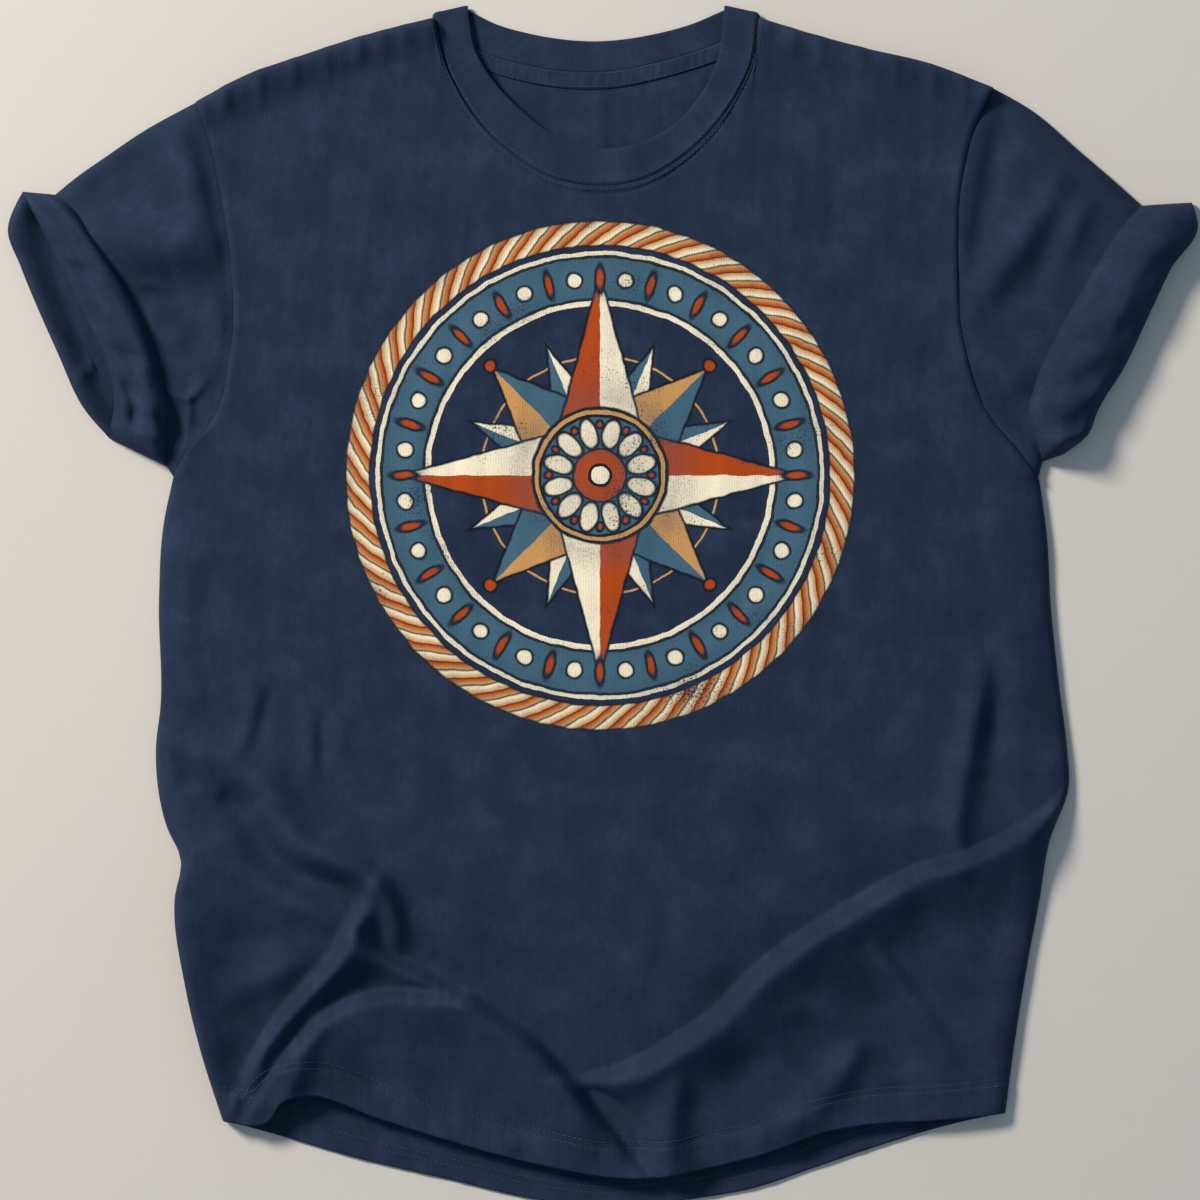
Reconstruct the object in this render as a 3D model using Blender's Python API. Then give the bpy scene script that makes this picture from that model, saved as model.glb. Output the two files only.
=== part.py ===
"""A crew-neck T-shirt laid flat, face up, with its sleeve ends turned up.

The named sizes are in millimetres and the model is in metres. +Y runs from the hem to the neck,
+X is to the right as one looks down on the shirt, and Z = 0 is the table it lies on.
"""

import bpy
import numpy as np

MM = 0.001

# The cloth, and the space left between pieces that are sewn edge to edge
JERSEY = 1.2
RIB = 2.0
TAPE = 0.8
TAPE_WIDTH = 11.0
TAPE_BELOW_SEAM = 0.8
SEAM_GAP = 0.4

# How high the laid cloth stands
EDGE_HEIGHT = 2.2
BODY_LIFT = 7.0
EDGE_ROUNDING = 16.0
NECK_LIFT = 2.0
NECK_LIFT_FROM = 0.9
NECK_OPENS_OVER = 0.06
LOWEST_FRONT = 2.2
SLEEVE_EDGE = 1.5
SLEEVE_LIFT = 7.0
CUFF_UNDER = 1.6
LEAST_HOLLOW = 0.3
SHOULDER_TURN = 0.008
UNDERARM_TURN = 0.022
COLLAR_FOLD_RADIUS = 2.0
FRONT_RIB_RISE = 3.6

# Outlines, as x and y along each seam or edge
LEFT_SIDE = [(-243, -335), (-256, -295), (-267, -250), (-274, -193), (-270, -167), (-279, -146),
             (-286, -96), (-283, -68), (-284, 0), (-281, 49), (-275, 78)]
RIGHT_SIDE = [(261, -330), (267, -285), (276, -230), (283, -193), (289, -157), (302, -118),
              (301, -98), (296, -58), (290, 0), (288, 39), (283, 77)]
LEFT_ARMHOLE = [(-275, 78), (-266, 98), (-251, 113), (-240, 146), (-236, 190), (-243, 257),
                (-251, 294), (-260, 321)]
RIGHT_ARMHOLE = [(283, 77), (269, 96), (252, 116), (242, 136), (235, 161), (230, 220),
                 (235, 283), (242, 307), (253, 330)]
LEFT_SHOULDER = [(-260, 321), (-228, 338), (-194, 350), (-154, 363), (-107, 375)]
RIGHT_SHOULDER = [(102, 375), (128, 367), (168, 356), (214, 345), (253, 330)]
FRONT_NECK = [(-107, 375), (-99, 343), (-88, 321), (-73, 301), (-53, 284), (-33, 272), (0, 266),
              (30, 271), (51, 283), (71, 301), (89, 326), (98, 346), (102, 375)]
BACK_NECK = [(-107, 375), (-73, 353), (-46, 345), (0, 341), (51, 351), (77, 360), (102, 375)]
FRONT_HEM = [(-243, -335), (-213, -335), (-204, -322), (-196, -319), (-139, -334), (-91, -349),
             (-41, -362), (15, -371), (69, -365), (98, -358), (148, -341), (172, -337), (220, -334),
             (261, -330)]
BACK_HEM = [(-243, -335), (-213, -343), (-158, -359), (-94, -374), (-42, -386), (8, -391),
            (58, -386), (98, -379), (137, -366), (172, -354), (221, -339), (261, -330)]

# The neck rib's free edge, in front and behind, between the two folded tips of the collar
FRONT_RIB_EDGE = [(-85, 380), (-80, 353), (-71, 337), (-53, 317), (-33, 301), (0, 290), (23, 293),
                  (44, 303), (62, 321), (75, 346), (80, 380)]
BACK_RIB_EDGE = [(-85, 380), (-67, 371), (-46, 365), (0, 360), (37, 365), (59, 371), (80, 380)]

# Each sleeve from its shoulder to its underarm: the turned-up end's inner edge, and the mouth.
# The roll's height is above the sleeve's front, and its crest is a share of the way to the mouth.
LEFT_SLEEVE = {
    "armhole": LEFT_ARMHOLE,
    "top": [(-260, 321), (-296, 301), (-318, 286), (-339, 271), (-351, 261)],
    "underarm": [(-275, 78), (-279, 86)],
    "cuff_front": [(-351, 261), (-338, 250), (-328, 235), (-302, 196), (-291, 173), (-284, 150),
                   (-279, 128), (-279, 86)],
    "cuff_back": [(-351, 261), (-346, 225), (-331, 180), (-309, 130), (-279, 86)],
    "mouth_front": [(-372, 263), (-361, 243), (-352, 225), (-337, 195), (-324, 168), (-316, 149),
                    (-312, 130), (-316, 104)],
    "mouth_back": [(-372, 263), (-381, 237), (-373, 215), (-349, 159), (-332, 123), (-316, 104)],
    "roll_height": 13,
    "crest_at": 0.38,
    "outward": -1,
}
RIGHT_SLEEVE = {
    "armhole": RIGHT_ARMHOLE,
    "top": [(253, 330), (279, 315), (308, 290), (330, 271), (349, 254)],
    "underarm": [(283, 77), (285, 89)],
    "cuff_front": [(349, 254), (330, 231), (319, 213), (294, 170), (279, 136), (276, 123),
                   (279, 107), (285, 89)],
    "cuff_back": [(349, 254), (340, 225), (322, 180), (303, 130), (285, 89)],
    "mouth_front": [(381, 256), (384, 239), (367, 213), (355, 188), (336, 148), (320, 122),
                    (314, 107), (299, 94)],
    "mouth_back": [(381, 256), (382, 239), (364, 213), (351, 188), (333, 148), (317, 122),
                   (310, 107), (299, 94)],
    "roll_height": 16,
    "crest_at": 0.6,
    "outward": 1,
}

# The large folds of the front. Each row is x and y of the fold's sharp line, the height, and how far
# the cloth takes to rise from that line and to fall away beyond its crest. A fold rises to the left
# of its line as that runs. Where a fold has two lines, its cloth rises only inside both of them.
FOLDS = {
    "diagonal_roll": [
        [(299, -120, 4, 10, 26), (283, -136, 9, 9, 28), (246, -158, 15, 9, 32),
         (195, -176, 20, 9, 36), (170, -190, 22, 9, 38), (132, -213, 23, 9, 40),
         (98, -238, 23, 10, 40), (73, -264, 22, 11, 34), (45, -283, 20, 11, 26),
         (23, -296, 16, 10, 19), (2, -303, 11, 9, 13), (-20, -306, 2, 8, 10)]],
    "left_pleat": [
        [(-150, -187, 4, 7, 9), (-159, -202, 13, 7, 9), (-169, -225, 17, 7, 10),
         (-190, -249, 17, 7, 11), (-210, -272, 15, 7, 11), (-222, -289, 11, 8, 12),
         (-232, -312, 4, 8, 12)]],
    "hem_lobe": [
        [(20, -364, 6, 8, 20), (8, -345, 10, 8, 24), (-8, -327, 13, 8, 27),
         (-25, -306, 15, 8, 28), (-45, -285, 16, 8, 28), (-70, -267, 17, 8, 26),
         (-92, -253, 16, 8, 22), (-120, -240, 12, 7, 14)],
        [(40, -236, 2, 8, 34), (-40, -246, 8, 8, 36), (-91, -253, 15, 8, 40),
         (-112, -252, 17, 8, 44), (-138, -251, 18, 8, 46), (-154, -254, 18, 8, 46),
         (-167, -259, 18, 8, 42), (-178, -266, 17, 8, 38), (-191, -279, 15, 8, 36),
         (-202, -291, 12, 8, 34), (-212, -304, 9, 8, 30), (-220, -318, 5, 8, 26)]],
    "lobe_neck": [
        [(-88, -251, 4, 7, 7), (-112, -238, 9, 7, 8), (-132, -229, 11, 7, 9),
         (-149, -217, 9, 7, 10), (-156, -206, 3, 7, 10)]],
    "hem_hook": [
        [(76, -350, 3, 12, 16), (101, -330, 6, 12, 16), (123, -315, 8, 11, 16),
         (148, -299, 8, 10, 15), (160, -287, 6, 9, 14), (164, -276, 2, 8, 12)]],
}

# Soft rolls and hollows of the front: each point's x and y, the height, and the spread both ways
SOFT_ROLLS = {
    "upper_left_roll": [
        (-286, -84, 2, 11), (-260, -96, 7, 12), (-231, -109, 9, 12), (-213, -122, 11, 12),
        (-205, -139, 12, 12), (-191, -157, 13, 12), (-170, -167, 14, 11), (-151, -176, 14, 10),
        (-139, -191, 13, 8), (-132, -210, 9, 7), (-128, -228, 1, 7)],
    "left_waist_roll": [
        (-284, -146, 5, 9), (-263, -158, 8, 10), (-217, -183, 8, 12), (-190, -198, 7, 11),
        (-170, -208, 4, 10), (-158, -212, 0, 8)],
    "cone": [
        (48, -302, 0, 6), (49, -312, 5, 8), (46, -326, 10, 10), (44, -344, 12, 13), (44, -364, 11, 16)],
    "right_waist_roll": [
        (236, -182, 0, 8), (231, -165, 5, 8), (229, -140, 8, 9), (233, -110, 9, 9), (238, -85, 8, 9),
        (245, -48, 4, 9), (250, -20, 0, 9)],
    "lobe_pocket": [
        (2, -322, -2, 9), (8, -332, -12, 10), (20, -346, -9, 10), (28, -362, -4, 9)],
}

# The shortest way that the solid's cloth takes to rise from a fold's line, a little over a mesh cell
LEAST_CLIMB = 13.0

# Mesh spacing: finer beside folded edges
SIDE_STEPS = [0, 0.012, 0.03, 0.05, 0.07, 0.09, 0.11, 0.13, 0.15, 0.17, 0.19, 0.21, 0.23, 0.25, 0.275]
NECK_STARTS = 0.3
NECK_ENDS = 0.7
NECK_STEPS = 24
UNDERARM_AT = 0.56
FOLDS_END_AT = 0.38
FOLD_STEPS = 37
MIDDLE_STEPS = 6
ARMHOLE_STEPS = [0, 0.02, 0.06, 0.13, 0.23, 0.35, 0.48, 0.61, 0.73, 0.83, 0.91, 0.965, 1.0]
SIDE_BEND_FADES = 5
SLEEVE_STEPS = [0, 0.25, 0.5, 0.75, 0.97]
ROLL_UP_STEPS = [0, 0.07, 0.3, 1.0]
ROLL_DOWN_STEPS = [0.4, 0.75, 0.94, 1.0]
LINING_STEPS = [1.985, 1.6, 1.2, 1.0]

NAVY = (0.021, 0.030, 0.066, 1.0)
NAVY_RIB = (0.018, 0.027, 0.060, 1.0)
NAVY_TAPE = (0.024, 0.034, 0.072, 1.0)


def smooth_curve(points):
    """A function of 0 to 1 that runs evenly along a smooth curve through the points."""
    points = np.array(points, float)
    spans = np.linalg.norm(np.diff(points[:, :2], axis=0), axis=1)
    knots = np.concatenate([[0.0], np.cumsum(spans)])
    slopes = np.gradient(points, knots, axis=0)
    at = np.linspace(0, knots[-1], 20 * len(points))
    k = np.clip(np.searchsorted(knots, at, side="right") - 1, 0, len(spans) - 1)
    span = spans[k][:, None]
    x = (at - knots[k])[:, None] / span
    line = ((2 * x**3 - 3 * x**2 + 1) * points[k] + (x**3 - 2 * x**2 + x) * span * slopes[k]
            + (3 * x**2 - 2 * x**3) * points[k + 1] + (x**3 - x**2) * span * slopes[k + 1])
    length = np.concatenate([[0.0], np.cumsum(np.linalg.norm(np.diff(line[:, :2], axis=0), axis=1))])

    def curve(t):
        along = np.asarray(t, float) * length[-1]
        return np.stack([np.interp(along, length, column) for column in line.T], axis=-1)

    return curve


def chained(curves, ends):
    """One function of 0 to 1 that runs along several curves, each up to its own end value."""
    starts = [0.0] + list(ends[:-1])

    def curve(t):
        t = np.asarray(t, float)
        out = curves[0](np.clip(t / ends[0], 0, 1))
        for piece, start, end in zip(curves[1:], starts[1:], ends[1:]):
            inside = t > start
            out[inside] = piece(np.clip((t[inside] - start) / (end - start), 0, 1))
        return out

    return curve


def patch(south, north, west, east, us, vs):
    """A grid of x and y filled in between four edge curves, one row for each of vs.

    The bends of the two side edges fade away towards the middle.
    """
    u, v = np.asarray(us, float)[None, :, None], np.asarray(vs, float)[:, None, None]
    s, n = south(us)[None, :, :2], north(us)[None, :, :2]
    grid = (1 - v) * s + v * n
    for side, share in ((west, 1 - u), (east, u)):
        low, high = side([0.0, 1.0])[:, :2]
        bend = side(vs)[:, None, :2] - (1 - v) * low - v * high
        grid = grid + share**SIDE_BEND_FADES * bend
    return grid


def rise(distance, rounding=EDGE_ROUNDING):
    """0 at a folded edge, rounding up to 1 within a short distance of it."""
    return np.sqrt(1 - (1 - np.clip(distance / rounding, 0, 1)) ** 2)


def beside_line(xy, rows, steps=120):
    """Each point's distance to a smooth line, above 0 on the line's left, and the line's values there."""
    line = smooth_curve(rows)(np.linspace(0, 1, steps))
    heading = np.gradient(line[:, :2], axis=0)
    spacing = np.linalg.norm(heading, axis=1)
    heading /= spacing[:, None]
    near = np.argmin(((xy[..., None, :] - line[:, :2]) ** 2).sum(-1), axis=-1)
    offset = xy - line[near, :2]
    toward = heading[near]
    along = (offset * toward).sum(-1)
    beside = toward[..., 0] * offset[..., 1] - toward[..., 1] * offset[..., 0]
    at = np.clip(near + np.clip(along / spacing[near], -0.5, 0.5), 0, steps - 1)
    values = [np.interp(at, np.arange(steps), column) for column in line.T[2:]]
    past = np.where((near == 0) | (near == steps - 1), along, 0)
    return np.hypot(beside, past) * np.sign(beside), values


def fold(xy, rows):
    """Where one line of a fold lets the cloth rise, from 0 to 1, and how high it stands there."""
    beside, (height, climb, spread) = beside_line(xy, rows)
    climb = np.maximum(climb, LEAST_CLIMB)
    risen = (1 - (1 - np.clip(beside / climb, 0, 1)) ** 2) ** 0.8
    return risen, height * np.exp(-((np.maximum(beside - climb, 0) / spread) ** 1.5))


def fold_height(xy):
    """The height that the folds and rolls of the front add at each point."""
    total = np.zeros(xy.shape[:-1])
    for lines in FOLDS.values():
        risen, heights = zip(*(fold(xy, rows) for rows in lines))
        total += np.prod(risen, axis=0) * np.max(heights, axis=0)
    for rows in SOFT_ROLLS.values():
        beside, (height, spread) = beside_line(xy, rows)
        total += height * np.exp(-((beside / spread) ** 2))
    return total


def add_piece(name, points, faces, colour, roughness):
    """A closed, smooth-shaded mesh object with its own material, from points in millimetres."""
    mesh = bpy.data.meshes.new(name)
    mesh.from_pydata([tuple(p) for p in np.asarray(points) * MM], [], faces)
    mesh.validate()
    mesh.update()
    mesh.shade_smooth()
    mesh.set_sharp_from_angle(angle=np.radians(50))
    material = bpy.data.materials.new(name)
    material.use_nodes = True
    shader = material.node_tree.nodes["Principled BSDF"]
    shader.inputs["Base Color"].default_value = colour
    shader.inputs["Roughness"].default_value = roughness
    shader.inputs["Metallic"].default_value = 0.0
    mesh.materials.append(material)
    piece = bpy.data.objects.new(name, mesh)
    bpy.context.scene.collection.objects.link(piece)
    return piece


def add_sheet(name, grid, thickness, colour, roughness=0.9):
    """A closed sheet: the grid is its upper side, and its under side lies a thickness below."""
    rows, columns = grid.shape[:2]
    top = grid.reshape(-1, 3)
    count = len(top)
    points = np.vstack([top, top - [0, 0, thickness]])
    faces = []
    for r in range(rows - 1):
        for c in range(columns - 1):
            a, b = r * columns + c, r * columns + c + 1
            d, e = a + columns, b + columns
            faces.append((a, b, e, d))
            faces.append((a + count, d + count, e + count, b + count))
    rim = ([c for c in range(columns)]
           + [r * columns + columns - 1 for r in range(1, rows)]
           + [(rows - 1) * columns + c for c in range(columns - 2, -1, -1)]
           + [r * columns for r in range(rows - 2, 0, -1)])
    for a, b in zip(rim, rim[1:] + rim[:1]):
        faces.append((a, a + count, b + count, b))
    return add_piece(name, points, faces, colour, roughness)


def add_tube(name, loops, colour, roughness=0.9):
    """A closed piece from loops of points, each joined to the next and the last to the first."""
    loops = np.array(loops)
    count, around = loops.shape[:2]
    faces = []
    for i in range(count):
        following = (i + 1) % count
        for j in range(around):
            k = (j + 1) % around
            faces.append((i * around + j, i * around + k, following * around + k, following * around + j))
    return add_piece(name, loops.reshape(-1, 3), faces, colour, roughness)


def side_edge(side, armhole):
    """A panel's whole side, from the hem up to the shoulder."""
    return chained([smooth_curve(side), smooth_curve(armhole)], [UNDERARM_AT, 1.0])


def top_edge(neck):
    """A panel's whole upper edge, from the left shoulder's end to the right one's."""
    curves = [smooth_curve(LEFT_SHOULDER), smooth_curve(neck), smooth_curve(RIGHT_SHOULDER)]
    return chained(curves, [NECK_STARTS, NECK_ENDS, 1.0])


def panel_steps():
    """Where the panels' grid lines run: across from the left, and up from the hem."""
    neck = np.linspace(NECK_STARTS, NECK_ENDS, NECK_STEPS + 1)
    across = np.concatenate([SIDE_STEPS, neck, 1 - np.array(SIDE_STEPS[::-1])])
    beside_sleeve = 1 - (1 - UNDERARM_AT) * np.array(ARMHOLE_STEPS[::-1])
    up = np.concatenate([np.linspace(0, FOLDS_END_AT, FOLD_STEPS + 1),
                         np.linspace(FOLDS_END_AT, UNDERARM_AT, MIDDLE_STEPS + 1)[1:], beside_sleeve[1:]])
    return across, up


def front_height(xy, across, up):
    """The height of the laid front: folded down at its sides and shoulders, open at the rest."""
    u, v = across[None, :], up[:, None]
    width = np.linalg.norm(xy[:, -1] - xy[:, 0], axis=-1)[:, None]
    length = np.linalg.norm(xy[-1] - xy[0], axis=-1)[None, :]
    armhole = rise(np.maximum(v - UNDERARM_AT, 0) * length)
    left = 1 - (1 - rise(u * width)) * (1 - armhole)
    right = 1 - (1 - rise((1 - u) * width)) * (1 - armhole)
    neck = rise(np.clip(np.minimum(u - NECK_STARTS, NECK_ENDS - u), 0, 1), NECK_OPENS_OVER)
    shoulder = 1 - (1 - rise((1 - v) * length)) * (1 - neck)
    lifted = left * right * shoulder
    near_neck = np.clip(2 - np.abs(u - 0.5) / (0.5 - NECK_STARTS), 0, 1)
    near_neck = near_neck * np.clip((v - NECK_LIFT_FROM) / (1 - NECK_LIFT_FROM), 0, 1)
    height = EDGE_HEIGHT + BODY_LIFT * lifted + NECK_LIFT * near_neck * (1 - lifted)
    return np.maximum(height + fold_height(xy) * left * right, LOWEST_FRONT)


def make_front_panel():
    across, up = panel_steps()
    xy = patch(smooth_curve(FRONT_HEM), top_edge(FRONT_NECK), side_edge(LEFT_SIDE, LEFT_ARMHOLE),
               side_edge(RIGHT_SIDE, RIGHT_ARMHOLE), across, up)
    height = front_height(xy, across, up) + JERSEY / 2
    return add_sheet("front_panel", np.dstack([xy, height]), JERSEY, NAVY)


def make_back_panel():
    across, up = panel_steps()
    south, north = smooth_curve(BACK_HEM), top_edge(BACK_NECK)
    west, east = side_edge(LEFT_SIDE, LEFT_ARMHOLE), side_edge(RIGHT_SIDE, RIGHT_ARMHOLE)
    outline = np.vstack([south(across), east(up)[1:], north(across[::-1])[1:], west(up[::-1])[1:-1]])
    count = len(outline)
    top = np.column_stack([outline, np.full(count, JERSEY)])
    under = np.column_stack([outline, np.zeros(count)])
    faces = [tuple(range(count)), tuple(range(2 * count - 1, count - 1, -1))]
    for a in range(count):
        b = (a + 1) % count
        faces.append((a, a + count, b + count, b))
    return add_piece("back_panel", np.vstack([top, under]), faces, NAVY, 0.9)


def moved_out(curve, distance, steps=200):
    """The same curve, moved sideways: to its left as it runs where the distance is positive."""
    t = np.linspace(0, 1, steps)
    line = curve(t)[:, :2]
    along = np.gradient(line, axis=0)
    along /= np.linalg.norm(along, axis=1)[:, None]
    return smooth_curve(line + distance * np.column_stack([-along[:, 1], along[:, 0]]))


def sleeve_line(sleeve, layer, s):
    """A function of the way round that gives the line across one layer of a sleeve.

    s is 0 at the armhole, 1 at the turned-up edge and 2 at the mouth.
    """
    hole = moved_out(smooth_curve(sleeve["armhole"][::-1]), sleeve["outward"] * SEAM_GAP)
    top, underarm = smooth_curve(sleeve["top"]), smooth_curve(sleeve["underarm"])
    cuff, mouth = smooth_curve(sleeve["cuff_" + layer]), smooth_curve(sleeve["mouth_" + layer])

    def line(t):
        if s > 1:
            return (2 - s) * cuff(t) + (s - 1) * mouth(t)
        to_hole = ((1 - t)[:, None] * (hole([0.0]) - top([0.0]))
                   + t[:, None] * (hole([1.0]) - underarm([0.0])))
        return patch(hole, cuff, top, underarm, t, [s])[0] + (1 - s) * to_hole

    return line


def closeness(t, line, ends):
    """How far a layer has parted from the other one: 0 at the sleeve's two folded edges."""
    length = np.linalg.norm(np.diff(line, axis=0), axis=1).sum()
    return rise((t - ends[0]) * length) * rise((ends[1] - t) * length)


def sleeve_loop(sleeve, s, upper, under, ends):
    """One closed loop of a sleeve: over its front from shoulder to underarm, back along its under side.

    upper and under give the heights of the two layers from how far they have parted, from 0 to 1.
    """
    t_front = ends[0] + (ends[1] - ends[0]) * np.array(ARMHOLE_STEPS)
    t_back = t_front[-2:0:-1]
    over, below = sleeve_line(sleeve, "front", s)(t_front), sleeve_line(sleeve, "back", s)(t_back)
    return np.vstack([np.column_stack([over, upper(closeness(t_front, over, ends))]),
                      np.column_stack([below, under(closeness(t_back, below, ends))])])


def roll_share(q, crest_at):
    """The turned-up end's height as a share: round over its crest, from its edge to the mouth."""
    if q < crest_at:
        return np.sqrt(1 - (1 - q / crest_at) ** 2)
    return np.sqrt(max(1 - ((q - crest_at) / (1 - crest_at)) ** 2, 0))


def outer_loop(sleeve, s):
    """A loop round the outside of a sleeve, over the roll where its end is turned up."""
    roll = sleeve["roll_height"] * roll_share(s - 1, sleeve["crest_at"]) if s > 1 else 0

    def upper(parted):
        return SLEEVE_EDGE + (SLEEVE_LIFT + JERSEY + roll) * parted

    def under(parted):
        return SLEEVE_EDGE * (1 - parted)

    return sleeve_loop(sleeve, s, upper, under, (0.0, 1.0))


def inner_loop(sleeve, s):
    """A loop round the inside of a sleeve, which lies on the cuff's turned-under cloth."""
    lining = JERSEY + CUFF_UNDER * min(s, 1)
    middle = max(SLEEVE_EDGE, lining) + LEAST_HOLLOW

    def upper(parted):
        return middle + (SLEEVE_EDGE + SLEEVE_LIFT - middle) * parted

    def under(parted):
        return middle - (middle - lining) * parted

    return sleeve_loop(sleeve, s, upper, under, (SHOULDER_TURN, 1 - UNDERARM_TURN))


def make_sleeve(name, sleeve):
    """A sleeve, open at the armhole and at the mouth, with its end turned up in a soft roll."""
    crest = sleeve["crest_at"]
    roll_steps = [1 + share * crest for share in ROLL_UP_STEPS]
    roll_steps += [1 + crest + share * (1 - crest) for share in ROLL_DOWN_STEPS]
    loops = [outer_loop(sleeve, s) for s in SLEEVE_STEPS + roll_steps]
    loops += [inner_loop(sleeve, s) for s in LINING_STEPS + SLEEVE_STEPS[::-1]]
    if sleeve["outward"] < 0:
        loops = loops[::-1]
    return add_tube(name, loops, NAVY)


def make_neck_rib():
    """The collar: a flat band once round the neck, folded over at its two tips."""
    seam_front = moved_out(smooth_curve(FRONT_NECK), SEAM_GAP)
    seam_back = moved_out(smooth_curve(BACK_NECK[::-1]), -SEAM_GAP)
    edge_front, edge_back = smooth_curve(FRONT_RIB_EDGE), smooth_curve(BACK_RIB_EDGE[::-1])
    low = RIB / 2
    high = low + 2 * COLLAR_FOLD_RADIUS
    middle = low + COLLAR_FOLD_RADIUS
    sections = []

    def section(seam, edge, normal):
        """The band's flattened section, a little fuller between its seam and its free edge."""
        normal, half = np.array(normal), RIB / 2
        mid = (seam + edge) / 2
        return [seam - half * 0.8 * normal, mid - half * normal, edge - half * 0.7 * normal,
                edge + half * 0.7 * normal, mid + half * 1.1 * normal, seam + half * 0.8 * normal]

    def turn_over(seam, edge, turns):
        """Half a turn over the line between two points, from one layer to the other."""
        for turn in turns:
            out = np.array([0, np.sin(turn), 0])
            level = np.array([0, 0, middle + COLLAR_FOLD_RADIUS * np.cos(turn)])
            sections.append(section(np.append(seam, 0) + COLLAR_FOLD_RADIUS * out + level,
                                    np.append(edge, 0) + COLLAR_FOLD_RADIUS * out + level,
                                    out + [0, 0, np.cos(turn)]))

    steps = np.linspace(0, 1, NECK_STEPS + 1)
    for t in steps:
        lift = high + FRONT_RIB_RISE * np.sin(np.pi * t) ** 0.7
        seam, edge = seam_front([t])[0], edge_front([t])[0]
        sections.append(section(np.append(seam, lift), np.append(edge, lift + 0.4 * np.sin(np.pi * t)),
                                [0, 0, 1]))
    turns = np.linspace(0, np.pi, 7)[1:-1]
    turn_over(seam_front([1.0])[0], edge_front([1.0])[0], turns)
    for t in steps:
        seam, edge = seam_back([t])[0], edge_back([t])[0]
        sections.append(section(np.append(seam, low), np.append(edge, low), [0, 0, -1]))
    turn_over(seam_front([0.0])[0], edge_front([0.0])[0], turns[::-1])
    return add_tube("neck_rib", sections, NAVY_RIB)


def make_neck_tape():
    """The tape that covers the back neck's seam on the inside."""
    t = np.linspace(0.1, 0.9, 21)
    seam = smooth_curve(BACK_NECK)(t)
    top = np.full(len(t), JERSEY + LEAST_HOLLOW + TAPE)
    rows = [np.column_stack([seam - [0, TAPE_BELOW_SEAM + share * TAPE_WIDTH], top])
            for share in (1.0, 0.5, 0.0)]
    return add_sheet("neck_tape", np.array(rows), TAPE, NAVY_TAPE)


def main():
    for item in list(bpy.data.objects):
        bpy.data.objects.remove(item)
    make_front_panel()
    make_back_panel()
    make_sleeve("left_sleeve", LEFT_SLEEVE)
    make_sleeve("right_sleeve", RIGHT_SLEEVE)
    make_neck_rib()
    make_neck_tape()


main()
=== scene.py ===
"""The looks of a crew-neck cotton T-shirt that lies flat, face up, with its sleeve ends turned up.

Every piece of cloth is built here as a fine closed sheet over the solid that it stands for. The
shape functions work in millimetres, and the meshes are in metres: +Y runs from the hem to the neck,
+X is to the right as one looks down on the shirt, and Z = 0 is the surface that it lies on.
"""

import math

import bmesh
import bpy
import numpy as np
from bpy.props import FloatProperty, FloatVectorProperty, IntProperty, PointerProperty
from mathutils.bvhtree import BVHTree
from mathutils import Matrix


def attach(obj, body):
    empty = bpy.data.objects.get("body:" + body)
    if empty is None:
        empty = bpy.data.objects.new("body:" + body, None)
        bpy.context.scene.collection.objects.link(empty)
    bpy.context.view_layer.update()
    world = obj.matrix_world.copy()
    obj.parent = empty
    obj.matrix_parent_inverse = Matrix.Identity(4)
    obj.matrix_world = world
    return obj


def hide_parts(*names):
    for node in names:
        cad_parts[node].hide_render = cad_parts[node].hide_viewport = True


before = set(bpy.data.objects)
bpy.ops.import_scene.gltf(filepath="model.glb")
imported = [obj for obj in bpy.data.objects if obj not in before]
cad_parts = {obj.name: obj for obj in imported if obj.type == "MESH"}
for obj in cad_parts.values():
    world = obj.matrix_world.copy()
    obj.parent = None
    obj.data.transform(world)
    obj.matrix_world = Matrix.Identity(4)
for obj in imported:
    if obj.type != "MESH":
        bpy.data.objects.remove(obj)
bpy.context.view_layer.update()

bl_info = {
    "name": "Laid T-shirt",
    "version": (1, 0, 0),
    "blender": (4, 5, 0),
    "location": "3D View > Sidebar > T-shirt",
    "description": "Builds a cotton T-shirt laid flat, with its folds, turned-up sleeves and stitching",
    "category": "Object",
}

MM = 0.001

# The photograph's frame: its width at the cloth, and the lens of a camera that looks straight down
FRAME_WIDTH = 0.771
LENS = 135.0
SENSOR = 36.0
CLOTH_HEIGHT = 0.009

# Outlines in millimetres, as x and y along each seam or edge
LEFT_SIDE = [(-243, -335), (-256, -295), (-267, -250), (-274, -193), (-270, -167), (-279, -146),
             (-286, -96), (-283, -68), (-284, 0), (-281, 49), (-275, 78)]
RIGHT_SIDE = [(261, -330), (267, -285), (276, -230), (283, -193), (289, -157), (302, -118),
              (301, -98), (296, -58), (290, 0), (288, 39), (283, 77)]
LEFT_ARMHOLE = [(-275, 78), (-266, 98), (-251, 113), (-240, 146), (-236, 190), (-243, 257),
                (-251, 294), (-260, 321)]
RIGHT_ARMHOLE = [(283, 77), (269, 96), (252, 116), (242, 136), (235, 161), (230, 220),
                 (235, 283), (242, 307), (253, 330)]
LEFT_SHOULDER = [(-260, 321), (-228, 338), (-194, 350), (-154, 363), (-107, 375)]
RIGHT_SHOULDER = [(102, 375), (128, 367), (168, 356), (214, 345), (253, 330)]
FRONT_NECK = [(-107, 375), (-99, 343), (-88, 321), (-73, 301), (-53, 284), (-33, 272), (0, 266),
              (30, 271), (51, 283), (71, 301), (89, 326), (98, 346), (102, 375)]
BACK_NECK = [(-107, 375), (-73, 353), (-46, 345), (0, 341), (51, 351), (77, 360), (102, 375)]
FRONT_HEM = [(-243, -335), (-213, -335), (-204, -322), (-196, -319), (-139, -334), (-91, -349),
             (-41, -362), (15, -371), (69, -365), (98, -358), (148, -341), (172, -337), (220, -334),
             (261, -330)]
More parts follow.
